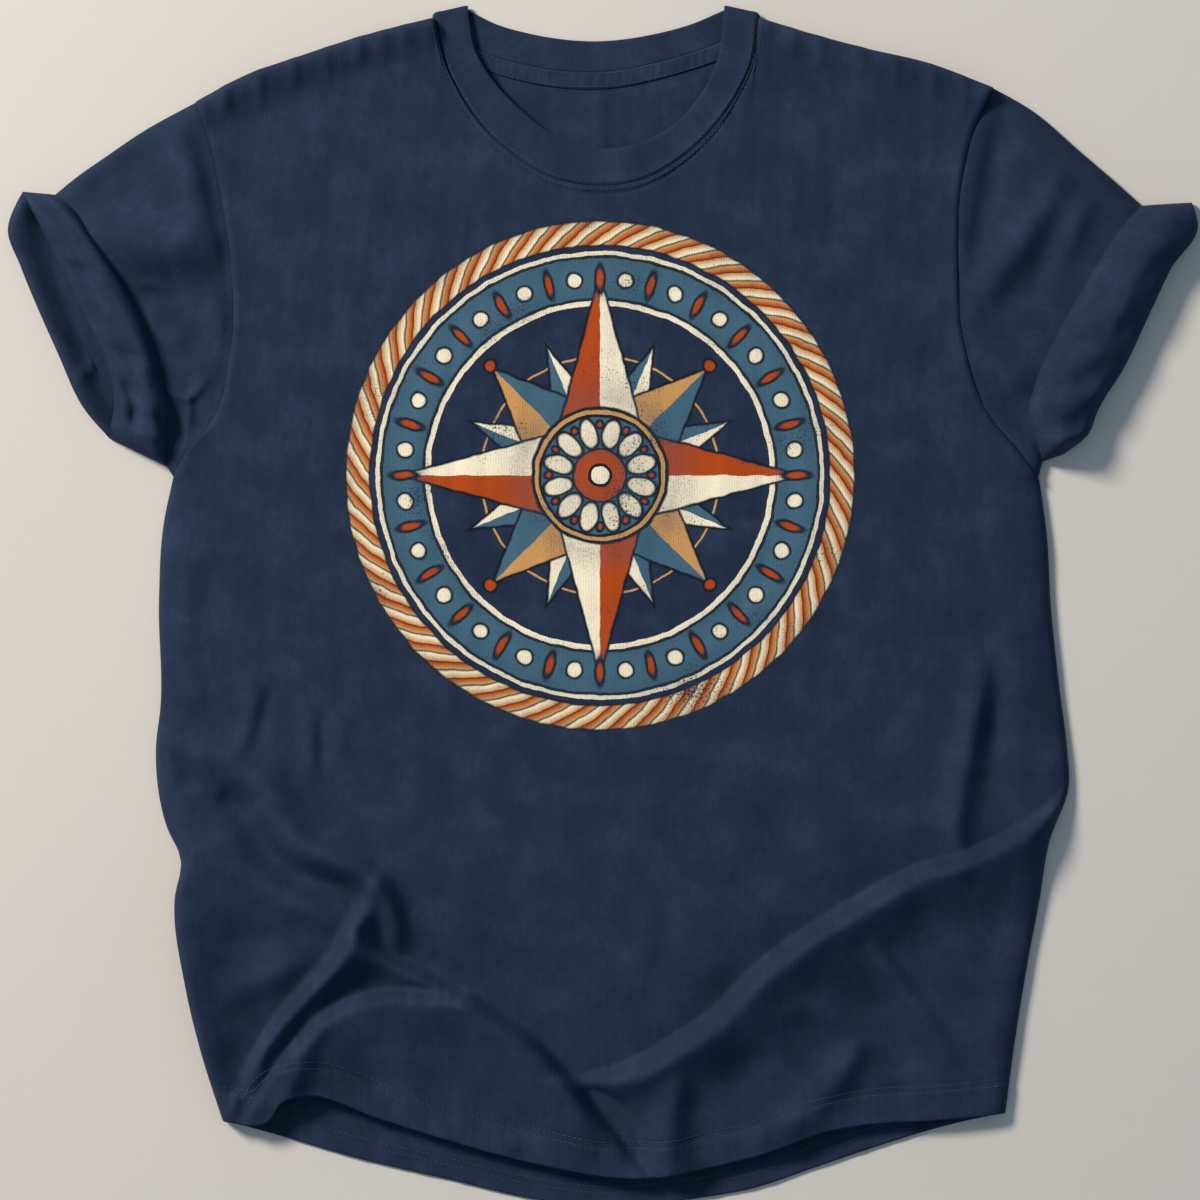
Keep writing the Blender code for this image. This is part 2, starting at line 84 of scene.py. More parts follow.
BACK_HEM = [(-243, -335), (-213, -343), (-158, -359), (-94, -374), (-42, -386), (8, -391),
            (58, -386), (98, -379), (137, -366), (172, -354), (221, -339), (261, -330)]
FRONT_RIB_EDGE = [(-85, 380), (-80, 353), (-71, 337), (-53, 317), (-33, 301), (0, 290), (23, 293),
                  (44, 303), (62, 321), (75, 346), (80, 380)]
BACK_RIB_EDGE = [(-85, 380), (-67, 371), (-46, 365), (0, 360), (37, 365), (59, 371), (80, 380)]

# Each sleeve from its shoulder to its underarm: the turned-up end's inner edge, and the mouth.
# The crest of the turned-up roll is a share of the way from its inner edge to the mouth.
LEFT_SLEEVE = {
    "armhole": LEFT_ARMHOLE,
    "top": [(-260, 321), (-296, 301), (-318, 286), (-339, 271), (-351, 261)],
    "underarm": [(-275, 78), (-279, 86)],
    "cuff_front": [(-351, 261), (-338, 250), (-328, 235), (-302, 196), (-291, 173), (-284, 150),
                   (-279, 128), (-279, 86)],
    "cuff_back": [(-351, 261), (-346, 225), (-331, 180), (-309, 130), (-279, 86)],
    "mouth_front": [(-372, 263), (-361, 243), (-352, 225), (-337, 195), (-324, 168), (-316, 149),
                    (-312, 130), (-316, 104)],
    "mouth_back": [(-372, 263), (-381, 237), (-373, 215), (-349, 159), (-332, 123), (-316, 104)],
    "roll_height": 13.0,
    "crest_at": 0.24,
    "outer_fall": 0.55,
    "outer_slope": 10,
    "back_rim": 9.5,
    "outward": -1,
}
RIGHT_SLEEVE = {
    "armhole": RIGHT_ARMHOLE,
    "top": [(253, 330), (279, 315), (308, 290), (330, 271), (349, 254)],
    "underarm": [(283, 77), (285, 89)],
    "cuff_front": [(349, 254), (330, 231), (319, 213), (294, 170), (279, 136), (276, 123),
                   (279, 107), (285, 89)],
    "cuff_back": [(349, 254), (340, 225), (322, 180), (303, 130), (285, 89)],
    "mouth_front": [(381, 256), (384, 239), (367, 213), (355, 188), (336, 148), (320, 122),
                    (314, 107), (299, 94)],
    "mouth_back": [(381, 256), (382, 239), (364, 213), (351, 188), (333, 148), (317, 122),
                   (310, 107), (299, 94)],
    "roll_height": 16.0,
    "crest_at": 0.6,
    "outer_fall": 0.0,
    "outer_slope": 1.3,
    "back_rim": 0.0,
    "outward": 1,
}

# How high the laid front stands and how far its edges round, in millimetres. Low on the left side the
# edge rounds more tightly. The neck's and the underarm's places are shares of the panel.
EDGE_HEIGHT = 1.9
BODY_LIFT = 7.3
EDGE_ROUNDING = 16.0
TIGHTER_BY = 11.0
TIGHT_BELOW = -150.0
TIGHT_FADES = 30.0
NECK_LIFT = 2.0
NECK_LIFT_FROM = 0.9
NECK_OPENS_OVER = 0.06
LOWEST_FRONT = 2.9
FOLDS_REACH = 20.0
DIP_REACH = 17.0
CREST_REACH = 1.7
CREST_SOFTNESS = 4
NECK_STARTS = 0.3
NECK_ENDS = 0.7
UNDERARM_AT = 0.56
SIDE_BEND_FADES = 5
SEAM_TUCK = 0.8
PANEL_LENGTH = 680.0
HALF_CLOTH = 0.6

# The front's seams, in millimetres: the step over the neck's seam, the ditch beside it, the welt
# along the armholes, and the cloth that stands up along the shoulders
SEAM_STEP = 0.7
SEAM_WIDTH = 4.2
SEAM_FADES = 1.8
DITCH_DEPTH = 0.5
DITCH_AT = 5.2
DITCH_WIDTH = 1.2
WELT_HEIGHT = 1.7
WELT_STARTS = 2.2
WELT_REACH = 12
SHOULDER_HEIGHT = 8.0
SHOULDER_REACH = 18
SHOULDER_ROUNDING = 6
SHOULDER_SLOPE = 0.33
SHOULDER_MIDDLES = (-184, 178)
GATHER_DEPTH = 1.7
GATHER_SPREAD = 4.2
NECK_GATHER = 0.18

# The hem: its doubled cloth, the rows of needle marks, and the puckers that they leave
HEM_STEP = 0.7
HEM_STEP_FADES = 2.5
HEM_STEP_PAST = 1.5
NEEDLE_DEPTH = 0.5
NEEDLE_WIDTH = 0.9
HEM_PUCKER = 0.38

# The cloth's gentle waves: their height, and their wavelengths across and along
BROAD_WAVES = (0.45, 90, 110)
FINE_WAVES = (0.22, 24, 170)
CHEST_STARTS = -140
CHEST_FADES = 160

# The sleeves: their heights, and their flat size as the knit is drawn on it
SLEEVE_EDGE = 1.5
SLEEVE_LIFT = 7.0
SLEEVE_ROUND = 240
SLEEVE_LENGTH = 90.0
TUCK_FADES = 3
CUFF_UNDER = 1.6
LINING_ENDS = (0.008, 0.978)

# The neck rib and the tape
COLLAR_FOLD_RADIUS = 2.0
FRONT_RIB_RISE = 3.6
RIB_LENGTH = 620
RIB_WIDTH = 24
TAPE_FROM_SEAM = 0.8

# The rib's section from its seam to its free edge: the share of the way, and how far its upper and
# lower side lie from its middle, as shares of its thickness
RIB_SECTION = [(0.0, -0.2, -0.4), (0.04, 0.3, -0.5), (0.09, 0.72, -0.5), (0.15, 0.86, -0.5),
               (0.21, 0.72, -0.5), (0.27, 0.5, -0.5), (0.45, 0.52, -0.5), (0.7, 0.5, -0.5),
               (0.86, 0.5, -0.5), (0.95, 0.46, -0.48), (0.99, 0.3, -0.34), (1.0, 0.1, -0.14)]

# Where the stitch rows run. The back hem's rows are set lower than the front's, which is a guess, so
# that they show where the front leaves the back free.
BACK_ROWS_LOWER = 9.0
COLLAR_ROWS = (-2.2, 2.4)
TAPE_ROWS = (0.12, 0.88)
RAY_START = 0.2

# The stage
FLOOR_HALF = 12000.0
FLOOR_LEVEL = -0.4
KEY_PLACE = (-2.75, 2.05, 2.5)
KEY_SIZE = 1.1
KEY_POWER = 218
KEY_COLOUR = 0xFFF6EA
SKY_COLOUR = 0xC4DCF2
SKY_STRENGTH = 0.40

# The large folds of the front. Each row is x and y of the fold's sharp line, the height, how far the
# cloth takes to rise from that line and to fall away beyond its crest, and how deep it dips before
# the line. A fold rises to the left of its line as that runs. Where a fold has two lines, its cloth
# rises only inside both of them.
FOLDS = {
    "diagonal_roll": [
        [(299, -120, 4, 8, 22, 0), (283, -136, 9, 7, 22, 1), (246, -158, 15, 7, 24, 2),
         (195, -176, 20, 7, 26, 3), (170, -190, 22, 7, 28, 3), (132, -213, 23, 7, 29, 3),
         (98, -238, 23, 8, 29, 4), (73, -264, 22, 9, 26, 4), (45, -283, 20, 9, 21, 4),
         (23, -296, 16, 9, 17, 4), (2, -303, 11, 8, 13, 3), (-20, -306, 2, 8, 10, 2)]],
    "left_pleat": [
        [(-150, -187, 4, 5, 11, 2), (-159, -202, 12, 5, 12, 3), (-169, -225, 16, 5, 13, 3),
         (-190, -249, 16, 5, 14, 3), (-210, -272, 14, 5, 13, 3), (-222, -289, 10, 6, 13, 2),
         (-232, -312, 4, 7, 12, 1)]],
    "hem_lobe": [
        [(24, -362, 5, 6, 20, 1), (12, -342, 8, 6, 24, 3), (-5, -324, 10, 6, 27, 4),
         (-22, -303, 12, 6, 28, 4), (-42, -282, 13, 6, 28, 4), (-68, -264, 14, 6, 26, 4),
         (-90, -251, 14, 6, 22, 4), (-120, -239, 11, 6, 14, 0)],
        [(40, -236, 2, 6, 34, 0), (-40, -246, 7, 6, 36, 0), (-91, -253, 13, 6, 40, 1),
         (-112, -252, 15, 6, 44, 2), (-138, -251, 16, 6, 46, 2), (-154, -254, 16, 6, 46, 2),
         (-167, -259, 16, 6, 42, 2), (-178, -266, 15, 6, 38, 2), (-191, -279, 13, 6, 36, 2),
         (-202, -291, 11, 6, 34, 2), (-212, -304, 8, 6, 30, 1), (-220, -318, 5, 7, 26, 1)]],
    "lobe_neck": [
        [(-88, -251, 4, 7, 7, 2), (-112, -238, 9, 7, 8, 6), (-132, -229, 11, 7, 9, 6),
         (-149, -217, 9, 7, 10, 3), (-156, -206, 3, 7, 10, 0)]],
}

# Soft rolls and hollows of the front: each point's x and y, the height, and the spread both ways
SOFT_ROLLS = {
    "upper_left_roll": [
        (-286, -84, 2, 11), (-260, -96, 7, 12), (-231, -109, 9, 12), (-213, -122, 11, 12),
        (-205, -139, 12, 12), (-191, -157, 13, 12), (-170, -167, 14, 11), (-151, -176, 14, 10),
        (-139, -191, 13, 8), (-132, -210, 9, 7), (-128, -228, 1, 7)],
    "left_waist_roll": [
        (-284, -146, 5, 9), (-263, -158, 8, 10), (-217, -183, 8, 12), (-190, -198, 7, 11),
        (-170, -208, 4, 10), (-158, -212, 0, 8)],
    "left_patch": [
        (-250, -262, 0, 10), (-230, -250, 4, 11), (-210, -241, 5, 11), (-193, -233, 4, 9),
        (-180, -228, 0, 8)],
    "lobe_left_roll": [
        (-176, -258, 0, 6), (-181, -268, 3, 6), (-188, -285, 5, 7), (-194, -304, 6, 7),
        (-202, -322, 5, 7)],
    "cone": [
        (48, -302, 0, 6), (49, -312, 5, 8), (46, -326, 10, 10), (44, -344, 12, 13), (44, -364, 11, 16)],
    "right_waist_roll": [
        (236, -182, 0, 8), (231, -165, 5, 8), (229, -140, 8, 9), (233, -110, 9, 9), (238, -85, 8, 9),
        (245, -48, 4, 9), (250, -20, 0, 9)],
    "right_waist_hollow": [
        (262, -150, 0, 9), (256, -125, -3, 10), (255, -95, -3.5, 10), (258, -60, -1.5, 10)],
    "right_low_roll": [
        (170, -218, 0, 6), (180, -230, 5, 6), (195, -250, 6, 6), (219, -284, 5, 6), (232, -302, 0, 7)],
    "hem_hook": [
        (92, -350, 0, 14), (116, -340, 5, 14), (138, -323, 8, 13), (152, -306, 8, 11),
        (163, -291, 6, 9), (167, -278, 0, 8)],
    "right_low_hollow": [
        (150, -250, 0, 12), (180, -262, -3, 14), (205, -290, -3, 14), (215, -312, 0, 12)],
    "hook_arc": [
        (108, -272, 0, 8), (128, -262, 3, 8), (150, -268, 3, 8), (163, -280, 1, 8)],
    "waist_slit_ridge": [
        (-238, -30, 0, 6), (-222, -62, 3, 6), (-229, -92, 3.5, 6), (-240, -104, 0, 6)],
    "waist_slit_ridge_2": [
        (-190, -62, 0, 5), (-186, -85, 3, 5), (-185, -108, 3, 5), (-190, -124, 0, 5)],
    "left_edge_hill": [
        (-273, -168, 2, 12), (-269, -192, 12, 20), (-265, -226, 15, 22), (-259, -262, 13, 20),
        (-250, -300, 9, 15), (-239, -328, 3, 11)],
    "apex_hollow": [
        (-148, -180, 0, 5), (-141, -192, -3, 5), (-139, -206, -3.5, 5), (-141, -220, -1, 5)],
    "valley_above_roll": [
        (-255, -118, 0, 9), (-232, -136, -4, 9), (-214, -160, -4, 9), (-190, -178, -4, 8),
        (-166, -186, -3, 7), (-156, -190, 0, 6)],
    "pleat_pocket": [
        (-118, -240, 0, 6), (-138, -238, -2.5, 8), (-160, -246, -2, 8), (-182, -264, -2, 7),
        (-212, -300, -1, 6)],
    "lobe_rim": [
        (-96, -258, 0, 8), (-70, -276, 3, 11), (-46, -296, 4, 12), (-26, -318, 5, 12),
        (-12, -338, 4, 11), (0, -356, 0, 9)],
    "lobe_pocket": [
        (-14, -306, 0, 7), (-3, -318, -12, 9), (8, -330, -14, 10), (20, -346, -10, 10),
        (28, -362, -4, 9)],
    "belly_hollow": [
        (-112, -180, 0, 14), (-92, -215, -3, 16), (-50, -245, -4, 18), (-10, -272, -4, 18),
        (30, -262, -2, 16), (70, -236, 0, 14)],
}

# Short ridges and hollows: x and y of both ends, the height, and the spread across
SOFT_RIDGES = [
    (272, -64, 258, -20, 3.0, 10), (250, -96, 258, -40, -3.0, 9), (-213, -60, -222, -92, -2.6, 5),
    (-178, -74, -180, -110, -1.8, 4), (-166, -74, -166, -108, 1.4, 6), (-270, -85, -262, -122, -3.0, 8),
    (-243, -124, -224, -138, -3.5, 9), (-262, -40, -262, -70, 1.6, 8), (-240, -215, -205, -222, -3.5, 10),
    (-230, -150, -190, -182, -3.0, 9), (-60, -214, -30, -258, -1.6, 16), (34, -178, 26, -244, 0.9, 8),
    (46, -190, 40, -246, -0.9, 8), (-20, -140, -52, -200, 0.9, 12), (-62, -128, -92, -176, 0.8, 11),
    (90, -150, 70, -210, 0.8, 12), (112, -140, 98, -196, -0.7, 12), (-104, -90, -122, -150, 0.8, 10),
    (-90, -96, -106, -156, -0.6, 9), (-80, -300, -56, -334, 1.6, 12), (-118, -280, -96, -318, -2.0, 14),
    (-150, -282, -140, -316, -2.5, 14), (258, -190, 248, -240, -1.8, 14), (196, -196, 214, -226, -1.5, 12),
    (-238, 20, -230, -20, 1.4, 12), (-262, 30, -268, -30, 1.4, 8), (242, 20, 250, -40, -1.4, 12),
    (256, 60, 262, 0, 1.6, 9), (-215, 60, -222, 0, -1.0, 10), (110, -290, 80, -312, -3.5, 13),
    (188, -290, 200, -318, -1.5, 12), (90, -348, 130, -334, 1.5, 9), (-60, -344, -56, -356, 1.5, 9),
    (-100, -334, -98, -348, 1.5, 8),
]

# Gathers that hang from a shoulder seam: x, the length downwards, and the height
SHOULDER_GATHERS = [(-242, 22, 1.4), (-220, 26, 1.2), (-198, 20, 1.3), (-177, 24, 1.0), (-157, 18, 1.2),
                    (-141, 22, 0.9), (-127, 16, 1.1), (122, 18, 0.9), (140, 24, 0.8), (166, 20, 1.0),
                    (188, 24, 0.8), (212, 22, 1.1), (232, 24, 1.0)]

# The soft rolls and hollows of each sleeve's front, in the rows that the front's own use
LEFT_SLEEVE_ROLLS = [
    [(-346, 240, 2, 14), (-326, 234, 11, 17), (-304, 228, 15, 19), (-282, 225, 15, 19), (-262, 225, 11, 17),
     (-240, 228, 3, 15)],
    [(-262, 224, 0, 10), (-258, 244, 5, 11), (-262, 268, 7, 11), (-269, 292, 5, 11), (-275, 312, 1, 9)],
    [(-338, 250, 0, 9), (-318, 266, -3, 10), (-300, 280, -3, 10), (-286, 296, 0, 9)],
    [(-318, 258, 0, 7), (-312, 266, 2, 7), (-302, 274, 0, 7)],
    [(-300, 205, 0, 4), (-292, 203, 1.6, 3.5), (-280, 200, 1.4, 3.5), (-268, 196, 0, 4)],
    [(-286, 137, 0, 3.4), (-278, 135, 2.2, 3.4), (-264, 130, 2.8, 3.4), (-256, 137, 2.2, 3.4),
     (-250, 145, 0, 3)],
    [(-264, 129, 1.5, 3), (-264, 118, 2.2, 3), (-266, 106, 1.0, 3)],
    [(-282, 154, 0, 9), (-270, 158, -2.0, 9), (-256, 168, -1.2, 9), (-246, 180, 0, 8)],
    [(-282, 124, 0, 6), (-275, 119, -3, 6), (-271, 108, -3, 6), (-272, 98, 0, 5)],
    [(-252, 206, 0, 9), (-246, 186, 2.4, 9), (-248, 160, 2.0, 9), (-254, 142, 0, 7)],
]
RIGHT_SLEEVE_ROLLS = [
    [(300, 284, 0, 11), (292, 266, 4, 11), (270, 232, 6, 11), (250, 202, 5, 11), (238, 180, 2, 10),
     (232, 166, 0, 9)],
    [(318, 262, 0, 8), (310, 248, 2.5, 8), (302, 232, 3.5, 8), (296, 214, 2, 8), (288, 196, 0, 8)],
    [(262, 322, -1, 9), (256, 300, -3.5, 10), (250, 262, -4, 10), (243, 226, -3, 9), (238, 200, 0, 8)],
    [(286, 304, 0, 8), (306, 284, 3, 8), (326, 264, 4, 8), (342, 246, 2, 8)],
    [(246, 152, 0, 7), (258, 146, 2.5, 7), (270, 140, 3, 7), (280, 134, 0, 6)],
    [(250, 130, 0, 7), (262, 124, -3, 7), (272, 114, -3, 6), (280, 104, 0, 5)],
    [(262, 186, 0, 12), (280, 206, -3, 12), (290, 226, -2, 10), (298, 246, 0, 8)],
]
LEFT_MOUTH_RIDGE = [(-316, 162, 0, 4), (-322, 156, 2.5, 5), (-330, 147, 2.5, 5), (-337, 138, 0, 4)]

# Dents and puffs of the turned-up rolls: along the roll, across it (0 at its inner edge, 1 at the
# mouth), the height, and how far each spreads along and across
LEFT_ROLL_DENTS = [
    (0.33, 0.62, -3.2, 0.035, 0.16), (0.40, 0.40, 2.0, 0.06, 0.20), (0.28, 0.5, 1.6, 0.07, 0.25),
    (0.52, 0.35, 1.2, 0.05, 0.25), (0.66, 0.45, -3.2, 0.03, 0.3), (0.72, 0.3, 3.4, 0.04, 0.22),
    (0.79, 0.66, -4.0, 0.035, 0.14), (0.84, 0.35, 3.6, 0.03, 0.22), (0.88, 0.60, -5.5, 0.05, 0.09),
    (0.93, 0.4, 3.4, 0.022, 0.25), (0.12, 0.5, 1.2, 0.05, 0.3), (0.59, 0.75, 1.8, 0.04, 0.2),
]
RIGHT_ROLL_DENTS = [
    (0.42, 0.55, 2.2, 0.05, 0.2), (0.50, 0.80, -2.0, 0.05, 0.2), (0.62, 0.45, 2.6, 0.05, 0.18),
    (0.70, 0.55, -3.2, 0.05, 0.22), (0.80, 0.35, 2.6, 0.05, 0.22), (0.86, 0.65, -3.4, 0.04, 0.2),
    (0.93, 0.45, 2.4, 0.03, 0.2), (0.97, 0.75, -2.0, 0.03, 0.2), (0.18, 0.45, 1.6, 0.06, 0.3),
    (0.30, 0.75, -1.6, 0.05, 0.2), (0.76, 0.85, 2.4, 0.03, 0.15), (0.90, 0.9, 2.0, 0.02, 0.12),
]

# The printed medallion, as shares of its radius. Each ring starts at a distance from the centre.
RING_INKS = [(0.0, "cream"), (0.035, "outline"), (0.045, "rust"), (0.095, "outline"), (0.105, "slate"),
             (0.225, "outline"), (0.235, "tan"), (0.252, "outline"), (0.262, None), (0.455, "tan"),
             (0.461, None), (0.655, "cream"), (0.672, "outline"), (0.684, "slate"), (0.836, "outline"),
             (0.848, "cream"), (0.866, None), (0.884, "outline"), (0.99, None)]
BOSS_RADIUS = 0.258
LINE_WIDTH = 0.010
INK_BLEED = 0.003

# The star's rays: how many, their turn as a share of their spacing, the tip, the waist, both inks
STAR_RAYS = [(16, 0.5, 0.42, 0.28, "tan", "rust"), (8, 0.5, 0.56, 0.26, "slate", "cream"),
             (4, 0.5, 0.60, 0.26, "tan", "slate"), (4, 0.0, 0.80, 0.24, "rust", "cream")]

# Rings of dots and petals: how many, their turn, their distance out, their size, their length, the ink
DOTS = [(12, 0.5, 0.165, 0.030, 1.7, "cream"), (12, 0.0, 0.199, 0.008, 1.2, "rust"),
        (24, 0.5, 0.760, 0.026, 1.0, "cream"), (24, 0.0, 0.760, 0.012, 3.0, "rust"),
        (4, 0.5, 0.60, 0.020, 1.0, "rust")]
ROPE_RADIUS = 0.937
ROPE_HALF = 0.044
ROPE_STRANDS = 56
ROPE_SLANT = 13.0
ROPE_INKS = [(0.0, "outline"), (0.12, "rust"), (0.42, "tan"), (0.5, "outline"), (0.62, "cream"),
             (0.95, "tan")]
WAVER = 0.014

# How deeply the print is shaded with a stipple, by the distance from the centre
SHADING = [(0.0, 0.30), (0.10, 0.52), (0.24, 0.40), (0.30, 0.56), (0.42, 0.30), (0.66, 0.36),
           (0.69, 0.56), (0.76, 0.34), (0.83, 0.56), (0.93, 0.26), (0.99, 0.52)]


def linear(code):
    """An sRGB hex colour such as 0x262F4B as linear red, green and blue."""
    parts = [(code >> shift & 255) / 255 for shift in (16, 8, 0)]
    return [c / 12.92 if c <= 0.04045 else ((c + 0.055) / 1.055) ** 2.4 for c in parts]


def size_setting(name, description, default, least=0.0):
    """A size in metres that a user may change."""
    return FloatProperty(name=name, description=description, default=default, min=least, unit="LENGTH")


def colour_setting(name, description, code):
    """A colour that a user may change, from its sRGB hex value."""
    return FloatVectorProperty(name=name, description=description, default=linear(code),
                               subtype="COLOR", min=0, max=1)


class ShirtSettings(bpy.types.PropertyGroup):
    """The sizes and colours of the shirt."""

    jersey: size_setting("Jersey", "Thickness of the body's cloth", 0.0012, 0.0005)
    rib: size_setting("Rib", "Thickness of the neck rib", 0.0020, 0.0005)
    tape: size_setting("Neck tape", "Thickness of the tape inside the neck", 0.0008, 0.0003)
    tape_width: size_setting("Tape width", "Width of the tape inside the neck", 0.011)
    hem: size_setting("Hem", "From the edge up to the hem's stitching", 0.018)
    row_gap: size_setting("Needle gap", "Between the two rows of the hem's stitching", 0.0042)
    stitch_length: size_setting("Stitch", "Length of one stitch", 0.0026)
    stitch_pitch: size_setting("Stitch pitch", "From one stitch to the next", 0.0034)
    thread: size_setting("Thread", "Thickness of the sewing thread", 0.0006)
    wale: size_setting("Wale spacing", "Spacing of the knit's columns as drawn", 0.0017)
    print_radius: size_setting("Print radius", "Half the width of the printed medallion", 0.166)
    print_height: size_setting("Print centre", "Height of the print's centre on the chest", 0.080)
    seed: IntProperty(name="Seed", description="Seed of the cloth's small ripples", default=7)
    dye: colour_setting("Dye", "The cotton's navy dye", 0x232F45)
    faded: colour_setting("Faded dye", "The dye where the cotton has taken less", 0x2B384F)
    deep: colour_setting("Deep dye", "The dye where the cotton has taken more", 0x1E293D)
    thread_dye: colour_setting("Thread dye", "The sewing thread's colour", 0x343D58)
    rust: colour_setting("Rust ink", "The print's burnt orange ink", 0xB4480F)
    cream: colour_setting("Cream ink", "The print's pale ink", 0xFBEDD0)
    tan: colour_setting("Tan ink", "The print's middle ink", 0xCF9A5C)
    slate: colour_setting("Slate ink", "The print's blue-grey ink", 0x46687C)
    outline: colour_setting("Outline ink", "The print's dark outline ink", 0x171A22)
    floor: colour_setting("Floor", "The colour of the floor", 0xD3CDC6)


def smooth_curve(points):
    """A function of 0 to 1 that runs evenly along a smooth curve through the points."""
    points = np.array(points, float)
    spans = np.linalg.norm(np.diff(points[:, :2], axis=0), axis=1)
    knots = np.concatenate([[0.0], np.cumsum(spans)])
    slopes = np.gradient(points, knots, axis=0)
    at = np.linspace(0, knots[-1], 20 * len(points))
    k = np.clip(np.searchsorted(knots, at, side="right") - 1, 0, len(spans) - 1)
    span = spans[k][:, None]
    x = (at - knots[k])[:, None] / span
    line = ((2 * x**3 - 3 * x**2 + 1) * points[k] + (x**3 - 2 * x**2 + x) * span * slopes[k]
            + (3 * x**2 - 2 * x**3) * points[k + 1] + (x**3 - x**2) * span * slopes[k + 1])
    length = np.concatenate([[0.0], np.cumsum(np.linalg.norm(np.diff(line[:, :2], axis=0), axis=1))])

    def curve(t):
        along = np.asarray(t, float) * length[-1]
        return np.stack([np.interp(along, length, column) for column in line.T], axis=-1)

    return curve


def chained(curves, ends):
    """One function of 0 to 1 that runs along several curves, each up to its own end value."""
    starts = [0.0] + list(ends[:-1])

    def curve(t):
        t = np.asarray(t, float)
        out = curves[0](np.clip(t / ends[0], 0, 1))
        for piece, start, end in zip(curves[1:], starts[1:], ends[1:]):
            inside = t > start
            out[inside] = piece(np.clip((t[inside] - start) / (end - start), 0, 1))
        return out

    return curve


def moved_out(curve, distance, steps=200):
    """The same curve, moved sideways: to its left as it runs where the distance is positive."""
    line = curve(np.linspace(0, 1, steps))[:, :2]
    along = np.gradient(line, axis=0)
    along /= np.linalg.norm(along, axis=1)[:, None]
    return smooth_curve(line + distance * np.column_stack([-along[:, 1], along[:, 0]]))


def patch(south, north, west, east, us, vs):
    """A grid of x and y filled in between four edge curves, one row for each of vs."""
    u, v = np.asarray(us, float)[None, :, None], np.asarray(vs, float)[:, None, None]
    grid = (1 - v) * south(us)[None, :, :2] + v * north(us)[None, :, :2]
    for side, share in ((west, 1 - u), (east, u)):
        low, high = side([0.0, 1.0])[:, :2]
        bend = side(vs)[:, None, :2] - (1 - v) * low - v * high
        grid = grid + share**SIDE_BEND_FADES * bend
    return grid


def rise(distance, rounding=EDGE_ROUNDING):
    """0 at a folded edge, rounding up to 1 within a short distance of it."""
    return np.sqrt(1 - (1 - np.clip(distance / rounding, 0, 1)) ** 2)


def ease(x):
    """0 below 0, 1 above 1, and a smooth step in between."""
    x = np.clip(x, 0, 1)
    return x * x * (3 - 2 * x)


def spaced(stops):
    """Grid lines from pairs of an end value and the count of steps up to it."""
    out, start = [0.0], 0.0
    for end, count in stops:
        out += list(np.linspace(start, end, count + 1)[1:])
        start = end
    return np.array(out)


def ripples(xy, across, along, seed, count=14):
    """Gentle waves of cloth from -1 to 1, of about the given wavelengths in millimetres."""
    draw = np.random.RandomState(seed)
    total = np.zeros(xy.shape[:-1])
    for _ in range(count):
        fx, fy = draw.normal(0, 1 / across), draw.normal(0, 1 / along)
        phase = draw.uniform(0, 2 * np.pi)
        total += np.sin(2 * np.pi * (fx * xy[..., 0] + fy * xy[..., 1]) + phase)
    return total / math.sqrt(count)


def beside_line(xy, rows, steps=160):
    """Each point's distance to a smooth line, above 0 on the line's left, and the line's values there."""
    line = smooth_curve(rows)(np.linspace(0, 1, steps))
    heading = np.gradient(line[:, :2], axis=0)
    spacing = np.linalg.norm(heading, axis=1)
    heading /= spacing[:, None]
    near = np.array([np.argmin(((row[:, None] - line[None, :, :2]) ** 2).sum(-1), axis=-1) for row in xy])
    offset = xy - line[near, :2]
    toward = heading[near]
    along = (offset * toward).sum(-1)
    beside = toward[..., 0] * offset[..., 1] - toward[..., 1] * offset[..., 0]
    at = np.clip(near + np.clip(along / spacing[near], -0.5, 0.5), 0, steps - 1)
    values = [np.interp(at, np.arange(steps), column) for column in line.T[2:]]
    past = np.where((near == 0) | (near == steps - 1), along, 0)
    return np.hypot(beside, past) * np.sign(beside), values


def fold(xy, rows):
    """Where one fold lets the cloth rise, how high it stands there, and how far it dips beside it."""
    beside, (height, climb, spread, dip) = beside_line(xy, rows)
    risen = 1 - (1 - np.clip(beside / (CREST_REACH * climb), 0, 1)) ** CREST_SOFTNESS
    fallen = np.exp(-(np.maximum(beside - climb, 0) / spread) ** 1.5)
    dips = dip * np.exp(-(np.minimum(beside, 0) / DIP_REACH) ** 2) * (1 - risen)
    return risen, height * fallen, dips


def soft_roll(xy, rows):
    """The height of a soft roll of cloth along a smooth line."""
    beside, (height, spread) = beside_line(xy, rows, 60)
    return height * np.exp(-(beside / spread) ** 2)


def ridge(xy, x0, y0, x1, y1, height, spread):
    """One soft straight ridge or hollow between two points, fading at both ends."""
    run = np.array([x1 - x0, y1 - y0], float)
    length = np.linalg.norm(run)
    away = xy - [x0, y0]
    along = away @ run / length**2 - 0.5
    across = (away[..., 1] * run[0] - away[..., 0] * run[1]) / length
    return height * np.exp(-(across / spread) ** 2 - (along / 0.5) ** 4)


def softened(height, passes):
    """The grid of heights with its sharpest corners eased."""
    for _ in range(passes):
        for axis in (0, 1):
            padded = np.pad(height, [(1, 1) if k == axis else (0, 0) for k in (0, 1)], mode="edge")
            count = height.shape[axis]
            before, after = (padded.take(range(k, k + count), axis) for k in (0, 2))
            height = 0.5 * height + 0.25 * (before + after)
    return height


def side_edge(side, armhole):
    """A panel's whole side, from the hem up to the shoulder."""
    return chained([smooth_curve(side), smooth_curve(armhole)], [UNDERARM_AT, 1.0])


def top_edge(neck):
    """A panel's whole upper edge, from the left shoulder's end to the right one's."""
    curves = [smooth_curve(LEFT_SHOULDER), smooth_curve(neck), smooth_curve(RIGHT_SHOULDER)]
    return chained(curves, [NECK_STARTS, NECK_ENDS, 1.0])


